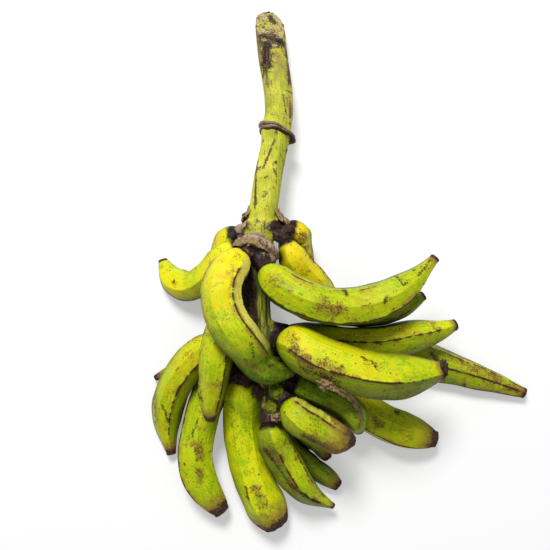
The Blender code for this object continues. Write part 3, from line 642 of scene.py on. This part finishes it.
# The stalk
# One thick green stem of tightly packed fibres, cut slantwise with a knife and dried brown at the cut. The
# crowns that the fruit hang from are swellings of the same stem, black with dried sap.
STALK_VOXEL = 0.0013
STALK_COLUMNS = 72
STALK_STEP = 0.0016
TRUNK_END_Y = 0.02
CROWN_TOP_Y = 0.075
TRUNK_START = 0.022
CUT_STRETCH = 0.085
CUT_LIFT = 0.97
CUT_OFFSET = 0.0018
TRUNK_REACH = 0.026
SLICE_STEP = 0.004
RACHIS = [(-0.1018, -0.0509, 0.066), (-0.0978, -0.0989, 0.066), (-0.0928, -0.1409, 0.062),
          (-0.0858, -0.1869, 0.056)]
RACHIS_RADII = [0.0165, 0.0155, 0.014, 0.01]
RACHIS_STEP = 0.003
RIBS = [(0.012, 5.0, 0.7, 0.0), (0.008, 9.0, 2.0, 9.0)]
STALK_SOFTENING = 4
FIBRE_SCALE = (260.0, 22.0, 260.0)
FIBRE_DEPTH = 0.00035
LUMP_SCALE = 170.0
CROWN_LUMPS = 0.0011
CUT_LUMPS = 0.001

# Dried sap, scars, worn tan bark and pale torn rims on the stalk, written as the fruit's marks are.
STALK_MARKS = {
    "sap": [(-95.5, 286, -76, 277, 13), (-92.5, 276, -93, 242, 13), (-88.4, 324.7, -82, 312, 7),
            (-95, 333, -84, 333, 5)],
    "scar": [(-80.6, 156, -80.6, 153, 3.8), (-81.8, 145.6, -96.4, 109.7, 3.2),
             (-80.6, 117, -80.6, 115.5, 2.8), (-93.9, 97.5, -93.9, 96, 2.8),
             (-87.6, 15.6, -87.6, 13.6, 3.2), (-66.9, 136.2, -77, 40, 3), (-70.6, 211.6, -60, 211, 2.4),
             (-71.8, 204.8, -67.5, 180, 2.2), (-67, 270, -63, 223, 4.5), (-104, 156, -106, 60, 2.6),
             (-101, 230, -99, 205, 3)],
    "tan": [(-106, 305, -101, 220, 13), (-64.3, 199.7, -63.1, 180.2, 8), (-76, 310, -70, 275, 11),
            (-64, 260, -60, 220, 8), (-93.7, 40, -93.7, 33, 7.5), (-96, 242, -90, 220, 7)],
    "rim": [(-130, 12, -119.9, 23.5, 10), (-119.9, 23.5, -101.6, 23.5, 10), (-101.6, 23.5, -85.3, 9, 10),
            (-85.3, 9, -80, -6, 9), (-125, 35, -118, 48, 8), (-64, 34, -69, 45, 8)],
}


def cut_face_of(solid):
    """The middle and the outward direction of the slanted cut: the stalk's largest flat near its far end."""
    bmesh.ops.dissolve_limit(solid, angle_limit=math.radians(0.5), verts=solid.verts[:], edges=solid.edges[:])
    far = max(vert.co.y for vert in solid.verts)
    face = max((face for face in solid.faces if face.calc_center_median().y > far - CUT_STRETCH
                and face.normal.y > 0.5), key=lambda face: face.calc_area())
    return face.calc_center_median(), face.normal.copy()


def slice_across(solid, point, heading, reach):
    """The middle and radius of the part of a solid's cross-section that lies round a point."""
    cut = solid.copy()
    edges = bmesh.ops.bisect_plane(cut, geom=cut.verts[:] + cut.edges[:] + cut.faces[:], dist=MERGE / 10,
                                   plane_co=point, plane_no=heading)["geom_cut"]
    area, middle = 0.0, Vector()
    for edge in edges:
        if isinstance(edge, bmesh.types.BMEdge):
            start, end = edge.verts[0].co, edge.verts[1].co
            if ((start + end) / 2 - point).length < reach:
                wedge = (start - point).cross(end - point).length / 2
                area += wedge
                middle += wedge * (start + end + point) / 3
    cut.free()
    return (middle / area, math.sqrt(area / math.pi)) if area else None


def trace_trunk():
    """The trunk's middle line from its cut end to the first crown, with its radius, read from its solid."""
    solid = solid_of("stalk")
    flat = solid.copy()
    cut_middle, cut_normal = cut_face_of(flat)
    flat.free()
    heading = Vector((0.0, -1.0, 0.0))
    point = cut_middle + heading * TRUNK_START
    line, radii = [], []
    while point.y > TRUNK_END_Y:
        middle, radius = slice_across(solid, point, heading, TRUNK_REACH)
        if radii and middle.y < CROWN_TOP_Y:
            middle, radius = point, radii[-1]
        line.append(middle)
        radii.append(radius)
        if len(line) > 3:
            heading = (line[-1] - line[-4]).normalized()
        point = middle + heading * SLICE_STEP
    solid.free()
    first = (line[0] - line[3]).normalized()
    far = line[0] + first * CUT_STRETCH
    far.z = max(far.z, radii[0] * CUT_LIFT)
    line = [far] + line
    line, radii = np.array(line), np.array([radii[0]] + radii)
    for _ in range(LINE_PASSES):
        line[1:-1] = 0.25 * line[:-2] + 0.5 * line[1:-1] + 0.25 * line[2:]
        radii[1:-1] = 0.25 * radii[:-2] + 0.5 * radii[1:-1] + 0.25 * radii[2:]
    return line, radii, cut_middle, cut_normal


def voxelled(piece, size):
    """A piece's mesh made again as one even skin round all that it holds."""
    wrap = piece.modifiers.new("wrap", "REMESH")
    wrap.mode = "VOXEL"
    wrap.voxel_size = size
    bpy.context.view_layer.update()
    graph = bpy.context.evaluated_depsgraph_get()
    made = bpy.data.meshes.new_from_object(piece.evaluated_get(graph))
    piece.modifiers.clear()
    piece.data = made


def trim(shape, point, normal):
    """A shape cut off at a plane, on the side that the normal points to, and closed there."""
    bmesh.ops.bisect_plane(shape, geom=shape.verts[:] + shape.edges[:] + shape.faces[:], dist=MERGE,
                           plane_co=point, plane_no=normal, clear_outer=True)
    bmesh.ops.holes_fill(shape, edges=shape.edges[:], sides=0)


def sweep_trunk(line, radii):
    """The trunk alone: a round stem with soft ribs, swept along its middle line and closed at both ends."""
    marks = marks_on(line)
    distance = np.linspace(0.0, marks[-1], int(marks[-1] / STALK_STEP))
    factor = np.ones(len(distance))
    factor[[0, -1]] = 0.0
    distance[0], distance[-1] = distance[1], distance[-2]
    radius = np.interp(distance, marks, radii) * factor
    points, sides, ups = frames_on(line, distance)

    def place(ring, column):
        angle = 2.0 * math.pi * column / STALK_COLUMNS
        ribs = sum(size * np.sin(round_stem * angle + start + turning * distance[ring])
                   for size, round_stem, start, turning in RIBS)
        outward = np.sin(angle)[:, None] * sides[ring] + np.cos(angle)[:, None] * ups[ring]
        return points[ring] + (radius[ring] * (1.0 + ribs))[:, None] * outward, {}

    return rolled_sheet("stalk_skin", len(distance), STALK_COLUMNS, place, ())


def fuse_crowns(stalk, cut_middle, cut_normal):
    """The trunk, cut at its slanted face and at the surface, in one skin with the solid's crowns."""
    trunk = bmesh.new()
    trunk.from_mesh(stalk.data)
    trim(trunk, cut_middle + cut_normal * CUT_OFFSET, cut_normal)
    trim(trunk, (0.0, 0.0, 0.0), (0.0, 0.0, -1.0))
    crowns = solid_of("stalk")
    trim(crowns, (0.0, CROWN_TOP_Y, 0.0), (0.0, 1.0, 0.0))
    lower = bpy.data.meshes.new("crowns")
    crowns.to_mesh(lower)
    crowns.free()
    trunk.from_mesh(lower)
    bmesh.ops.recalc_face_normals(trunk, faces=trunk.faces[:])
    trunk.to_mesh(stalk.data)
    trunk.free()
    bpy.data.meshes.remove(lower)
    voxelled(stalk, STALK_VOXEL)


def roughen(stalk, line, radii, cut_middle, cut_normal):
    """The stalk softened, then given its fibres and lumps, and the layers that its material reads."""
    skin = bmesh.new()
    skin.from_mesh(stalk.data)
    for _ in range(STALK_SOFTENING):
        bmesh.ops.smooth_vert(skin, verts=skin.verts[:], factor=0.5, use_axis_x=True, use_axis_y=True,
                              use_axis_z=True)
    skin.normal_update()
    places = np.array([vert.co for vert in skin.verts])
    normals = np.array([vert.normal for vert in skin.verts])
    rachis = np.vstack([line[-1:], RACHIS])
    at = np.arange(RACHIS_STEP, marks_on(rachis)[-1], RACHIS_STEP)
    spine = np.vstack([line, curved(at, marks_on(rachis), rachis)])
    girth = np.concatenate([radii, np.interp(at, marks_on(rachis), [radii[-1]] + RACHIS_RADII)])
    nearest = np.array([np.linalg.norm(spine - spot, axis=1).argmin() for spot in places])
    outside = np.linalg.norm(places - spine[nearest], axis=1) - girth[nearest]
    from_cut = -(places - np.array(cut_middle)) @ np.array(cut_normal)
    on_cut = smooth(0.6, 0.9, normals @ np.array(cut_normal)) * smooth(0.004, 0.001, from_cut)
    rib = np.array([noise.noise(Vector(spot * FIBRE_SCALE)) for spot in places])
    lump = np.array([noise.fractal(Vector(spot) * LUMP_SCALE, 1.0, 2.0, 3) for spot in places])
    crown = smooth(0.0, 0.006, outside)
    height = FIBRE_DEPTH * rib * (1.0 - crown) * (1.0 - on_cut)
    height = height + CROWN_LUMPS * lump * crown + CUT_LUMPS * lump * on_cut
    moved = places + normals * height[:, None]
    moved[:, 2] = np.maximum(moved[:, 2], 0.0)
    for vert, spot in zip(skin.verts, moved):
        vert.co = spot
    skin.to_mesh(stalk.data)
    skin.free()
    top = smooth(-0.1, 0.3, normals[:, 2])
    values = {
        "outside": outside,
        "cut": on_cut,
        "from_cut": from_cut,
        "down": places[:, 1].max() - places[:, 1],
        # Painted shade: how far the stalk faces downwards.
        "under": smooth(0.2, -0.6, normals[:, 2]),
    }
    for layer, marks in STALK_MARKS.items():
        values[layer] = mark_share(places, marks) * top
    for layer, numbers in values.items():
        add_layer(stalk.data, layer, numbers)
    stalk.data.shade_smooth()


def grow_stalk():
    """The trunk, round and fibrous, with the crowns and fruit stems of its solid fused to it."""
    line, radii, cut_middle, cut_normal = trace_trunk()
    stalk = sweep_trunk(line, radii)
    fuse_crowns(stalk, cut_middle, cut_normal)
    roughen(stalk, line, radii, cut_middle, cut_normal)
    return stalk


STALK_STOPS = [
    (0.0, (0.13, 0.15, 0.01)), (0.3, (0.3, 0.34, 0.018)), (0.55, (0.5, 0.52, 0.03)),
    (0.8, (0.64, 0.6, 0.06)), (1.0, (0.74, 0.66, 0.2)),
]
STALK_UNDERSIDE_SHADE = (0.12, 0.19, 0.012)
RACHIS_DARK = (0.055, 0.07, 0.01)
RIM_TAN = (0.4, 0.28, 0.18)
STALK_TAN = (0.3, 0.2, 0.08)
STALK_PURPLE = (0.06, 0.03, 0.024)
SAP_BLACK = (0.01, 0.006, 0.008)
FIBRE_TAN = (0.42, 0.3, 0.16)
CUT_CREAM = (0.66, 0.58, 0.22)
CUT_BROWN = (0.2, 0.11, 0.04)
CUT_GREEN = (0.42, 0.45, 0.04)


def stalk_rind():
    rind = Finish("stalk_rind", Specular_IOR_Level=0.22)
    place = rind.place()
    fibres = rind.grain(rind.stretched((1.0, 0.05, 1.0)), 800.0, 3.0, 0.6)
    streaks = rind.grain(rind.stretched((1.0, 0.1, 1.0)), 230.0, 4.0, 0.6)
    mottle = rind.grain(place, 30.0, 3.0)
    patches = rind.grain(place, 110.0, 5.0, 0.65)
    fine = rind.grain(place, 560.0, 4.0, 0.7)
    tone = (0.6 + mottle.rise(0.3, 0.7).swing(0.35) + fibres.rise(0.3, 0.7).swing(0.28)
            + streaks.rise(0.3, 0.7).swing(0.3) + fine.rise(0.25, 0.75).swing(0.15))
    rind.colour = rind.ramp(tone, STALK_STOPS)
    # The lower stem past the trunk is painted dark, partly the rachis's own deep green and partly painted
    # shade from the fruit hanging over it.
    lower = rind.layer("down").rise(0.33, 0.36)
    rind.coat(lower * (1.25 - streaks.rise(0.35, 0.65)), RACHIS_DARK)
    blotch = (patches + streaks.swing(0.6)).rise(0.58, 0.66) * mottle.rise(0.4, 0.6)
    dots = rind.cells(rind.stretched((1.0, 0.5, 1.0)), 200.0)
    specks = (1.0 - dots.rise(0.1, 0.22)) * patches.rise(0.46, 0.58)
    rind.coat(streaks.rise(0.6, 0.75) * 0.5, STALK_TAN)
    # Painted shade: the stalk's downward-facing side is painted darker green.
    rind.coat(rind.layer("under") * (0.3 + 0.6 * patches), STALK_UNDERSIDE_SHADE)
    rind.coat(specks * 0.8, STALK_PURPLE)
    upper = 1.0 - rind.layer("down").rise(0.13, 0.2)
    rind.coat(upper * (fine + patches.swing(0.5)).rise(0.5, 0.58) * 0.55, STALK_TAN)
    rind.coat(blotch * 0.75, STALK_PURPLE)
    break_up = patches.swing(1.5) + streaks.swing(1.4) + fine.swing(1.8)
    near_cut = 1.0 - (rind.layer("from_cut") + patches.swing(0.05)).rise(0.002, 0.035)
    rind.coat(near_cut * patches.rise(0.4, 0.52) * 0.8, STALK_TAN)
    tan = (rind.layer("tan") * 0.7 + break_up).rise(0.2, 0.6)
    rind.coat(tan * 0.8, STALK_TAN)
    rind.coat(tan * (streaks + (fine - 0.5)).rise(0.5, 0.62) * 0.8, STALK_PURPLE)
    face = rind.ramp(fine, [(0.35, CUT_CREAM), (0.62, CUT_BROWN)])
    face = rind.paint(face, mottle.rise(0.52, 0.62), CUT_GREEN)
    face = rind.paint(face, (patches * 0.6 + fine * 0.4).rise(0.5, 0.56) * 0.9, CUT_BROWN)
    face = rind.paint(face, (patches * 0.5 + fine * 0.5).rise(0.56, 0.62) * 0.9, STALK_PURPLE)
    rind.coat(rind.layer("cut"), face)
    cut_edge = rind.layer("cut").rise(0.02, 0.35) * (1.0 - rind.layer("cut").rise(0.45, 0.95))
    rind.coat(cut_edge * (patches + (fine - 0.5)).rise(0.3, 0.5), STALK_PURPLE)
    rind.coat((rind.layer("scar") * 0.8 + break_up).rise(0.25, 0.6) * 0.9, STALK_PURPLE)
    sap_mask = rind.layer("sap") * 1.1 + fine.swing(3.4) + patches.swing(1.8) + streaks.swing(0.6)
    rind.coat(sap_mask.rise(0.22, 0.62) * rind.layer("sap").rise(0.0, 0.25),
              rind.ramp(streaks * 0.3 + fine * 0.7, [(0.5, SAP_BLACK), (0.64, CUT_BROWN)]))
    rim = (rind.layer("rim") * 1.3 + patches.swing(1.2) + (fine - 0.5)).rise(0.35, 0.75)
    crown = (rind.layer("outside") + patches.swing(0.006)).rise(0.001, 0.004)
    sap = rind.ramp(fine, [(0.3, SAP_BLACK), (0.8, STALK_PURPLE)])
    sap = rind.paint(sap, patches.rise(0.58, 0.68) * 0.8, FIBRE_TAN)
    rind.coat(crown, sap)
    rim_fibre = rind.ramp(streaks * 0.6 + fine * 0.4, [(0.4, STALK_PURPLE), (0.5, RIM_TAN)])
    rind.coat(rim, rim_fibre)
    roughness = 0.55 + 0.2 * fine - 0.2 * crown
    height = fibres * 0.8 + fine * 0.5 + patches * 0.6 - blotch * 0.5
    return rind.finish(roughness, height, 0.6, 0.001)


stalk = grow_stalk()
stalk.data.materials.append(stalk_rind())
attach(stalk, "root")
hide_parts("stalk")

# The leaf scar
# A ledge with two thin lips, left round the stem where the last leaf stood. It is dry, brown and woody.
LEDGE_PLACE = (-0.0788, 0.159, 0.0395)
LEDGE_AXIS = (0.03, 0.985, -0.15)
LEDGE_SIDE_TILT = -0.35
LEDGE_UP_TILT = 0.05
LEDGE_THINNING = 0.72
LEDGE_COLUMNS = 120
LEDGE_PROFILE = [
    (-0.0062, 0.016), (-0.004, 0.0205), (-0.003, 0.0224), (-0.0019, 0.0231), (-0.001, 0.0222),
    (-0.0002, 0.0212), (0.0005, 0.0224), (0.0013, 0.0238), (0.0022, 0.0236), (0.0029, 0.0215),
    (0.0035, 0.016), (-0.0062, 0.016),
]


def grow_ledge():
    """The scar's two lips, carried round the stem on a slant."""
    axis = Vector(LEDGE_AXIS).normalized()
    side = Vector((1.0, 0.0, 0.0))
    side = (side - axis * side.dot(axis)).normalized()
    up = np.array(side.cross(axis))
    axis, side = np.array(axis), np.array(side)
    profile = np.array(LEDGE_PROFILE)

    def place(ring, column):
        angle = 2.0 * math.pi * column / LEDGE_COLUMNS
        wave = 1.0 + 0.02 * np.sin(3.0 * angle + 1.0) + 0.015 * np.sin(7.0 * angle + ring)
        reach = profile[ring, 1] * wave
        slant = LEDGE_SIDE_TILT * np.sin(angle) + LEDGE_UP_TILT * np.cos(angle)
        ahead = (profile[ring, 0] * (1.0 - LEDGE_THINNING * np.sin(angle)) + slant * reach
                 + 0.0006 * np.sin(5.0 * angle + 2.0))
        spots = (np.array(LEDGE_PLACE) + ahead[:, None] * axis
                 + reach[:, None] * (np.sin(angle)[:, None] * side + np.cos(angle)[:, None] * up))
        return spots, {"lip": profile[ring, 1]}

    return rolled_sheet("leaf_scar", len(profile), LEDGE_COLUMNS, place, ("lip",))


def ledge_wood():
    wood = Finish("ledge_wood", Specular_IOR_Level=0.2)
    place = wood.place()
    fine = wood.grain(place, 500.0, 4.0, 0.7)
    patches = wood.grain(place, 90.0, 3.0)
    out = wood.layer("lip").rise(0.0212, 0.0232)
    wood.colour = (*STALK_PURPLE, 1.0)
    wood.coat(out * (patches + fine.swing(0.8)).rise(0.3, 0.45), RIM_TAN)
    wood.coat(fine.rise(0.52, 0.62) * 0.7, STALK_PURPLE)
    return wood.finish(0.6 + 0.2 * fine, fine + patches, 0.6, 0.0008)


ledge = grow_ledge()
ledge.data.materials.append(ledge_wood())
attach(ledge, "root")

# The crowns' collars
# Torn flaps of dry, fibrous leaf base that still cling round the crowns, stiff as bark and ragged at the
# edge.
BLACK_FIBRE_EDGE = (0.11, 0.07, 0.045)
COLLAR_COLUMNS = 44
COLLAR_ROWS = 12
COLLAR_WALL = 0.0012
COLLARS = {
    "front_collar": dict(middle=(-0.1085, 0.066), reach=(0.028, 0.03), turn=(-78, 60),
                         grown=(0.014, 0.022, 0.006), free=(0.009, 0.0145, 0.002), flare=0.06),
    "left_collar": dict(middle=(-0.096, 0.052), reach=(0.0195, 0.0195), turn=(-122, -46),
                        grown=(0.066, 0.066, 0.062), free=(0.044, 0.047, 0.052), flare=0.38),
    "right_collar": dict(middle=(-0.095, 0.054), reach=(0.0195, 0.0195), turn=(44, 118),
                         grown=(0.058, 0.062, 0.06), free=(0.047, 0.04, 0.04), flare=0.42),
}


def hang_collar(name, collar, seed):
    """A torn flap that stands off the stem: a curved sheet with its own thickness and a ragged free edge."""
    flap = bmesh.new()
    bmesh.ops.create_grid(flap, x_segments=COLLAR_COLUMNS, y_segments=COLLAR_ROWS, size=1.0)
    for vert in flap.verts:
        across, down = (vert.co.x + 1.0) / 2.0, (vert.co.y + 1.0) / 2.0
        angle = math.radians(collar["turn"][0] + across * (collar["turn"][1] - collar["turn"][0]))
        tear = noise.fractal(Vector((across * 11.0, seed, 0.0)), 0.8, 2.0, 4)
        crease = noise.fractal(Vector((across * 16.0, down * 1.5, seed)), 0.8, 2.0, 4)
        high, low = (np.interp(across, (0.0, 0.5, 1.0), collar[edge]) for edge in ("grown", "free"))
        along = high + (low - high) * down * (1.0 + 0.32 * tear) + 0.0012 * crease
        out = 1.0 + collar["flare"] * down**1.6 + 0.07 * crease * down - 0.05 * (1.0 - down)
        vert.co = (collar["middle"][0] + collar["reach"][0] * out * math.sin(angle), along,
                   collar["middle"][1] + collar["reach"][1] * out * math.cos(angle))
    bmesh.ops.solidify(flap, geom=flap.faces[:], thickness=COLLAR_WALL)
    return link_mesh(flap, bpy.data.meshes.new(name))


def dry_fibre(name, dark, middle, light):
    fibre = Finish(name, Specular_IOR_Level=0.15)
    place = fibre.place()
    strands = fibre.grain(fibre.stretched((1.0, 0.1, 1.0)), 620.0, 4.0, 0.7)
    patches = fibre.grain(place, 150.0, 4.0, 0.6)
    fibre.colour = fibre.ramp(strands * 0.7 + patches * 0.3, [(0.36, dark), (0.48, middle), (0.6, light)])
    fibre.coat(patches.rise(0.54, 0.66) * 0.7, dark)
    return fibre.finish(0.7 + 0.2 * strands, strands * 1.5 + patches, 0.8, 0.0012)


COLLAR_FIBRE = dry_fibre("collar_fibre", STALK_PURPLE, STALK_TAN, FIBRE_TAN)
BLACK_FIBRE = dry_fibre("black_fibre", SAP_BLACK, STALK_PURPLE, BLACK_FIBRE_EDGE)
for seed, (name, collar) in enumerate(COLLARS.items()):
    flap = hang_collar(name, collar, 3.7 * seed)
    flap.data.materials.append(COLLAR_FIBRE)
    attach(flap, "root")

# The dried remains
# Withered strips and knots of bract and flower that dried onto the bunch: crumpled, stiff and brown.
STRIP_ROWS = 70
STRIP_COLUMNS = 10
STRIP_WALL = 0.001
KNOT_SUBDIVISIONS = 4
STRIPS = {
    "dried_strip": dict(
        line=[(-0.0243, -0.1463, 0.122), (-0.016, -0.15, 0.122), (-0.007, -0.1545, 0.117),
              (0.0003, -0.16, 0.108), (0.0085, -0.1685, 0.0945), (0.0149, -0.18, 0.08),
              (0.0182, -0.191, 0.0753), (0.018, -0.203, 0.069)],
        widths=(0.006, 0.0085, 0.008, 0.0065, 0.005, 0.003), curl=0.3, fibre=COLLAR_FIBRE),
    "stem_fibre": dict(
        line=[(-0.115, -0.008, 0.085), (-0.114, -0.035, 0.085), (-0.111, -0.06, 0.0835),
              (-0.106, -0.085, 0.0815), (-0.102, -0.105, 0.0785)],
        widths=(0.012, 0.016, 0.013, 0.01, 0.004), curl=0.45, fibre=BLACK_FIBRE),
}
KNOTS = {
    "dried_knot": dict(middle=(-0.0243, -0.1463, 0.119), half=(0.0095, 0.0065, 0.0065), rough=0.6,
                       fibre=COLLAR_FIBRE),
    "flower_remains": dict(middle=(0.1095, -0.13, 0.105), half=(0.005, 0.0085, 0.0065), rough=0.5,
                           fibre=BLACK_FIBRE),
    "crown_knob": dict(middle=(-0.067, 0.033, 0.064), half=(0.0085, 0.007, 0.007), rough=0.4,
                       fibre=BLACK_FIBRE),
    "stem_end_remains": dict(middle=(-0.0825, -0.189, 0.068), half=(0.0085, 0.006, 0.006), rough=0.5,
                             fibre=COLLAR_FIBRE),
    # The crown remains knot is partly dried sap and bract and partly a black mass put in the deep shade
    # between the second hand's first fruit and the fourth hand.
    "crown_remains": dict(middle=(-0.118, -0.138, 0.056), half=(0.019, 0.013, 0.012), rough=0.55,
                          fibre=BLACK_FIBRE),
    "third_crown_remains": dict(middle=(-0.08, -0.129, 0.062), half=(0.012, 0.01, 0.012), rough=0.55,
                                fibre=BLACK_FIBRE),
    "fourth_crown_remains": dict(middle=(-0.0696, -0.164, 0.05), half=(0.011, 0.012, 0.012), rough=0.55,
                                 fibre=BLACK_FIBRE),
    "stem_side_remains": dict(middle=(-0.093, -0.156, 0.06), half=(0.013, 0.012, 0.011), rough=0.55,
                              fibre=BLACK_FIBRE),
}


def hang_strip(name, strip, seed):
    """A withered strip: a narrow sheet carried along a line, curled and crumpled."""
    line = np.array(strip["line"])
    length = float(marks_on(line)[-1])
    points, sides, ups = frames_on(line, np.linspace(0.0, length, STRIP_ROWS + 1))
    width = np.interp(np.linspace(0.0, 1.0, STRIP_ROWS + 1), np.linspace(0.0, 1.0, len(strip["widths"])),
                      strip["widths"])
    sheet = bmesh.new()
    bmesh.ops.create_grid(sheet, x_segments=STRIP_ROWS, y_segments=STRIP_COLUMNS, size=1.0)
    for vert in sheet.verts:
        row, across = round((vert.co.x + 1.0) / 2.0 * STRIP_ROWS), vert.co.y
        crease = noise.fractal(Vector((row * 0.12, across * 1.6, seed)), 0.8, 2.0, 4)
        tear = noise.fractal(Vector((row * 0.35, seed, np.sign(across))), 0.8, 2.0, 4)
        vert.co = (points[row] + sides[row] * across * width[row] / 2.0 * (1.0 + 0.35 * tear)
                   + ups[row] * width[row] * (strip["curl"] * across**2 + 0.22 * crease))
    bmesh.ops.solidify(sheet, geom=sheet.faces[:], thickness=STRIP_WALL)
    return link_mesh(sheet, bpy.data.meshes.new(name))


def crumple(name, knot, seed):
    """A dried knot: a ball crumpled by noise."""
    ball = bmesh.new()
    bmesh.ops.create_icosphere(ball, subdivisions=KNOT_SUBDIVISIONS, radius=1.0)
    for vert in ball.verts:
        push = 1.0 + knot["rough"] * noise.fractal(vert.co * 2.4 + Vector((seed, 0.0, 0.0)), 0.7, 2.1, 4)
        vert.co = Vector(knot["middle"]) + Vector(knot["half"]) * vert.co * push
    return link_mesh(ball, bpy.data.meshes.new(name))


for seed, (name, strip) in enumerate(STRIPS.items()):
    dried = hang_strip(name, strip, 2.3 + seed)
    dried.data.materials.append(strip["fibre"])
    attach(dried, "root")
for seed, (name, knot) in enumerate(KNOTS.items()):
    dried = crumple(name, knot, 5.1 * seed)
    dried.data.materials.append(knot["fibre"])
    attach(dried, "root")

# The stunted fruit
# Two fruits at the stem's end that stopped growing when they were the size of a grape: hard, green and blunt.
STUNTED = {
    "stunted_fruit_1": dict(middle=(-0.0795, -0.159, 0.079), half=(0.0078, 0.0086, 0.008), rough=0.28),
    "stunted_fruit_2": dict(middle=(-0.086, -0.178, 0.069), half=(0.0072, 0.0078, 0.0065), rough=0.38),
}
STUNTED_DARK = (0.05, 0.06, 0.006)
STUNTED_GREEN = (0.17, 0.21, 0.008)
STUNTED_LIT = (0.38, 0.42, 0.01)


def stunted_skin():
    skin = Finish("stunted_skin", IOR=1.45, Specular_IOR_Level=0.2)
    place = skin.place()
    patches = skin.grain(place, 170.0, 4.0, 0.65)
    fine = skin.grain(place, 560.0, 4.0, 0.7)
    stops = [(0.35, STUNTED_DARK), (0.5, STUNTED_GREEN), (0.65, STUNTED_LIT)]
    skin.colour = skin.ramp(patches * 0.7 + fine * 0.3, stops)
    skin.coat((patches * 0.5 + fine * 0.5).rise(0.55, 0.62) * 0.8, SCAR_BROWN)
    return skin.finish(0.5 + 0.2 * fine, patches + fine, 0.6, 0.001)


STUNTED_SKIN = stunted_skin()
for seed, (name, knot) in enumerate(STUNTED.items()):
    bud = crumple(name, knot, 11.0 + seed)
    bud.data.materials.append(STUNTED_SKIN)
    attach(bud, "root")

# The floor, the light and the camera
# A plain white studio floor under soft light from above the cut end of the stalk, seen from nearly overhead.
FLOOR_SIZE = 6.0
FLOOR_WHITE = (0.62, 0.62, 0.62, 1.0)
FLOOR_GLOW = 0.36
WHITE = (1.0, 1.0, 1.0, 1.0)
LAMPS = {
    "key_light": dict(place=(-0.55, 1.75, 2.45), aim=(-0.05, -0.05, 0.05), size=1.0, power=94.0),
    "fill_light": dict(place=(1.2, -1.0, 2.6), aim=(0.0, -0.05, 0.05), size=2.0, power=3.0),
}
SKY_STRENGTH = 0.32
CAMERA_PLACE = (-0.0818, -0.0799, 0.9079)
CAMERA_TILT = math.radians(4.0)
LENS = 46.0
FILM = 36.0

sheet = bmesh.new()
bmesh.ops.create_grid(sheet, x_segments=1, y_segments=1, size=FLOOR_SIZE / 2)
floor_mesh = bpy.data.meshes.new("floor")
sheet.to_mesh(floor_mesh)
sheet.free()
floor = bpy.data.objects.new("floor", floor_mesh)
bpy.context.scene.collection.objects.link(floor)
# The floor paper glows a little: painted light that lifts the shadows cast on it.
floor_paper = Finish("floor_paper", Base_Color=FLOOR_WHITE, Roughness=0.9, Emission_Color=WHITE,
                     Emission_Strength=FLOOR_GLOW)
floor_mesh.materials.append(floor_paper.material)


def hang_lamp(name, place, aim, size, power):
    lamp = bpy.data.lights.new(name, "AREA")
    lamp.shape = "DISK"
    lamp.size = size
    lamp.energy = power
    hung = bpy.data.objects.new(name, lamp)
    hung.location = place
    hung.rotation_euler = (Vector(aim) - Vector(place)).to_track_quat("-Z", "Y").to_euler()
    bpy.context.scene.collection.objects.link(hung)


for name, lamp in LAMPS.items():
    hang_lamp(name, **lamp)
sky = bpy.data.worlds.new("studio")
sky.use_nodes = True
sky.node_tree.nodes["Background"].inputs["Color"].default_value = WHITE
sky.node_tree.nodes["Background"].inputs["Strength"].default_value = SKY_STRENGTH
bpy.context.scene.world = sky
bpy.context.scene.view_settings.view_transform = "Standard"

lens = bpy.data.cameras.new("camera")
lens.lens = LENS
lens.sensor_width = FILM
camera = bpy.data.objects.new("camera", lens)
camera.location = CAMERA_PLACE
camera.rotation_euler = (CAMERA_TILT, 0.0, 0.0)
bpy.context.scene.collection.objects.link(camera)
bpy.context.scene.camera = camera
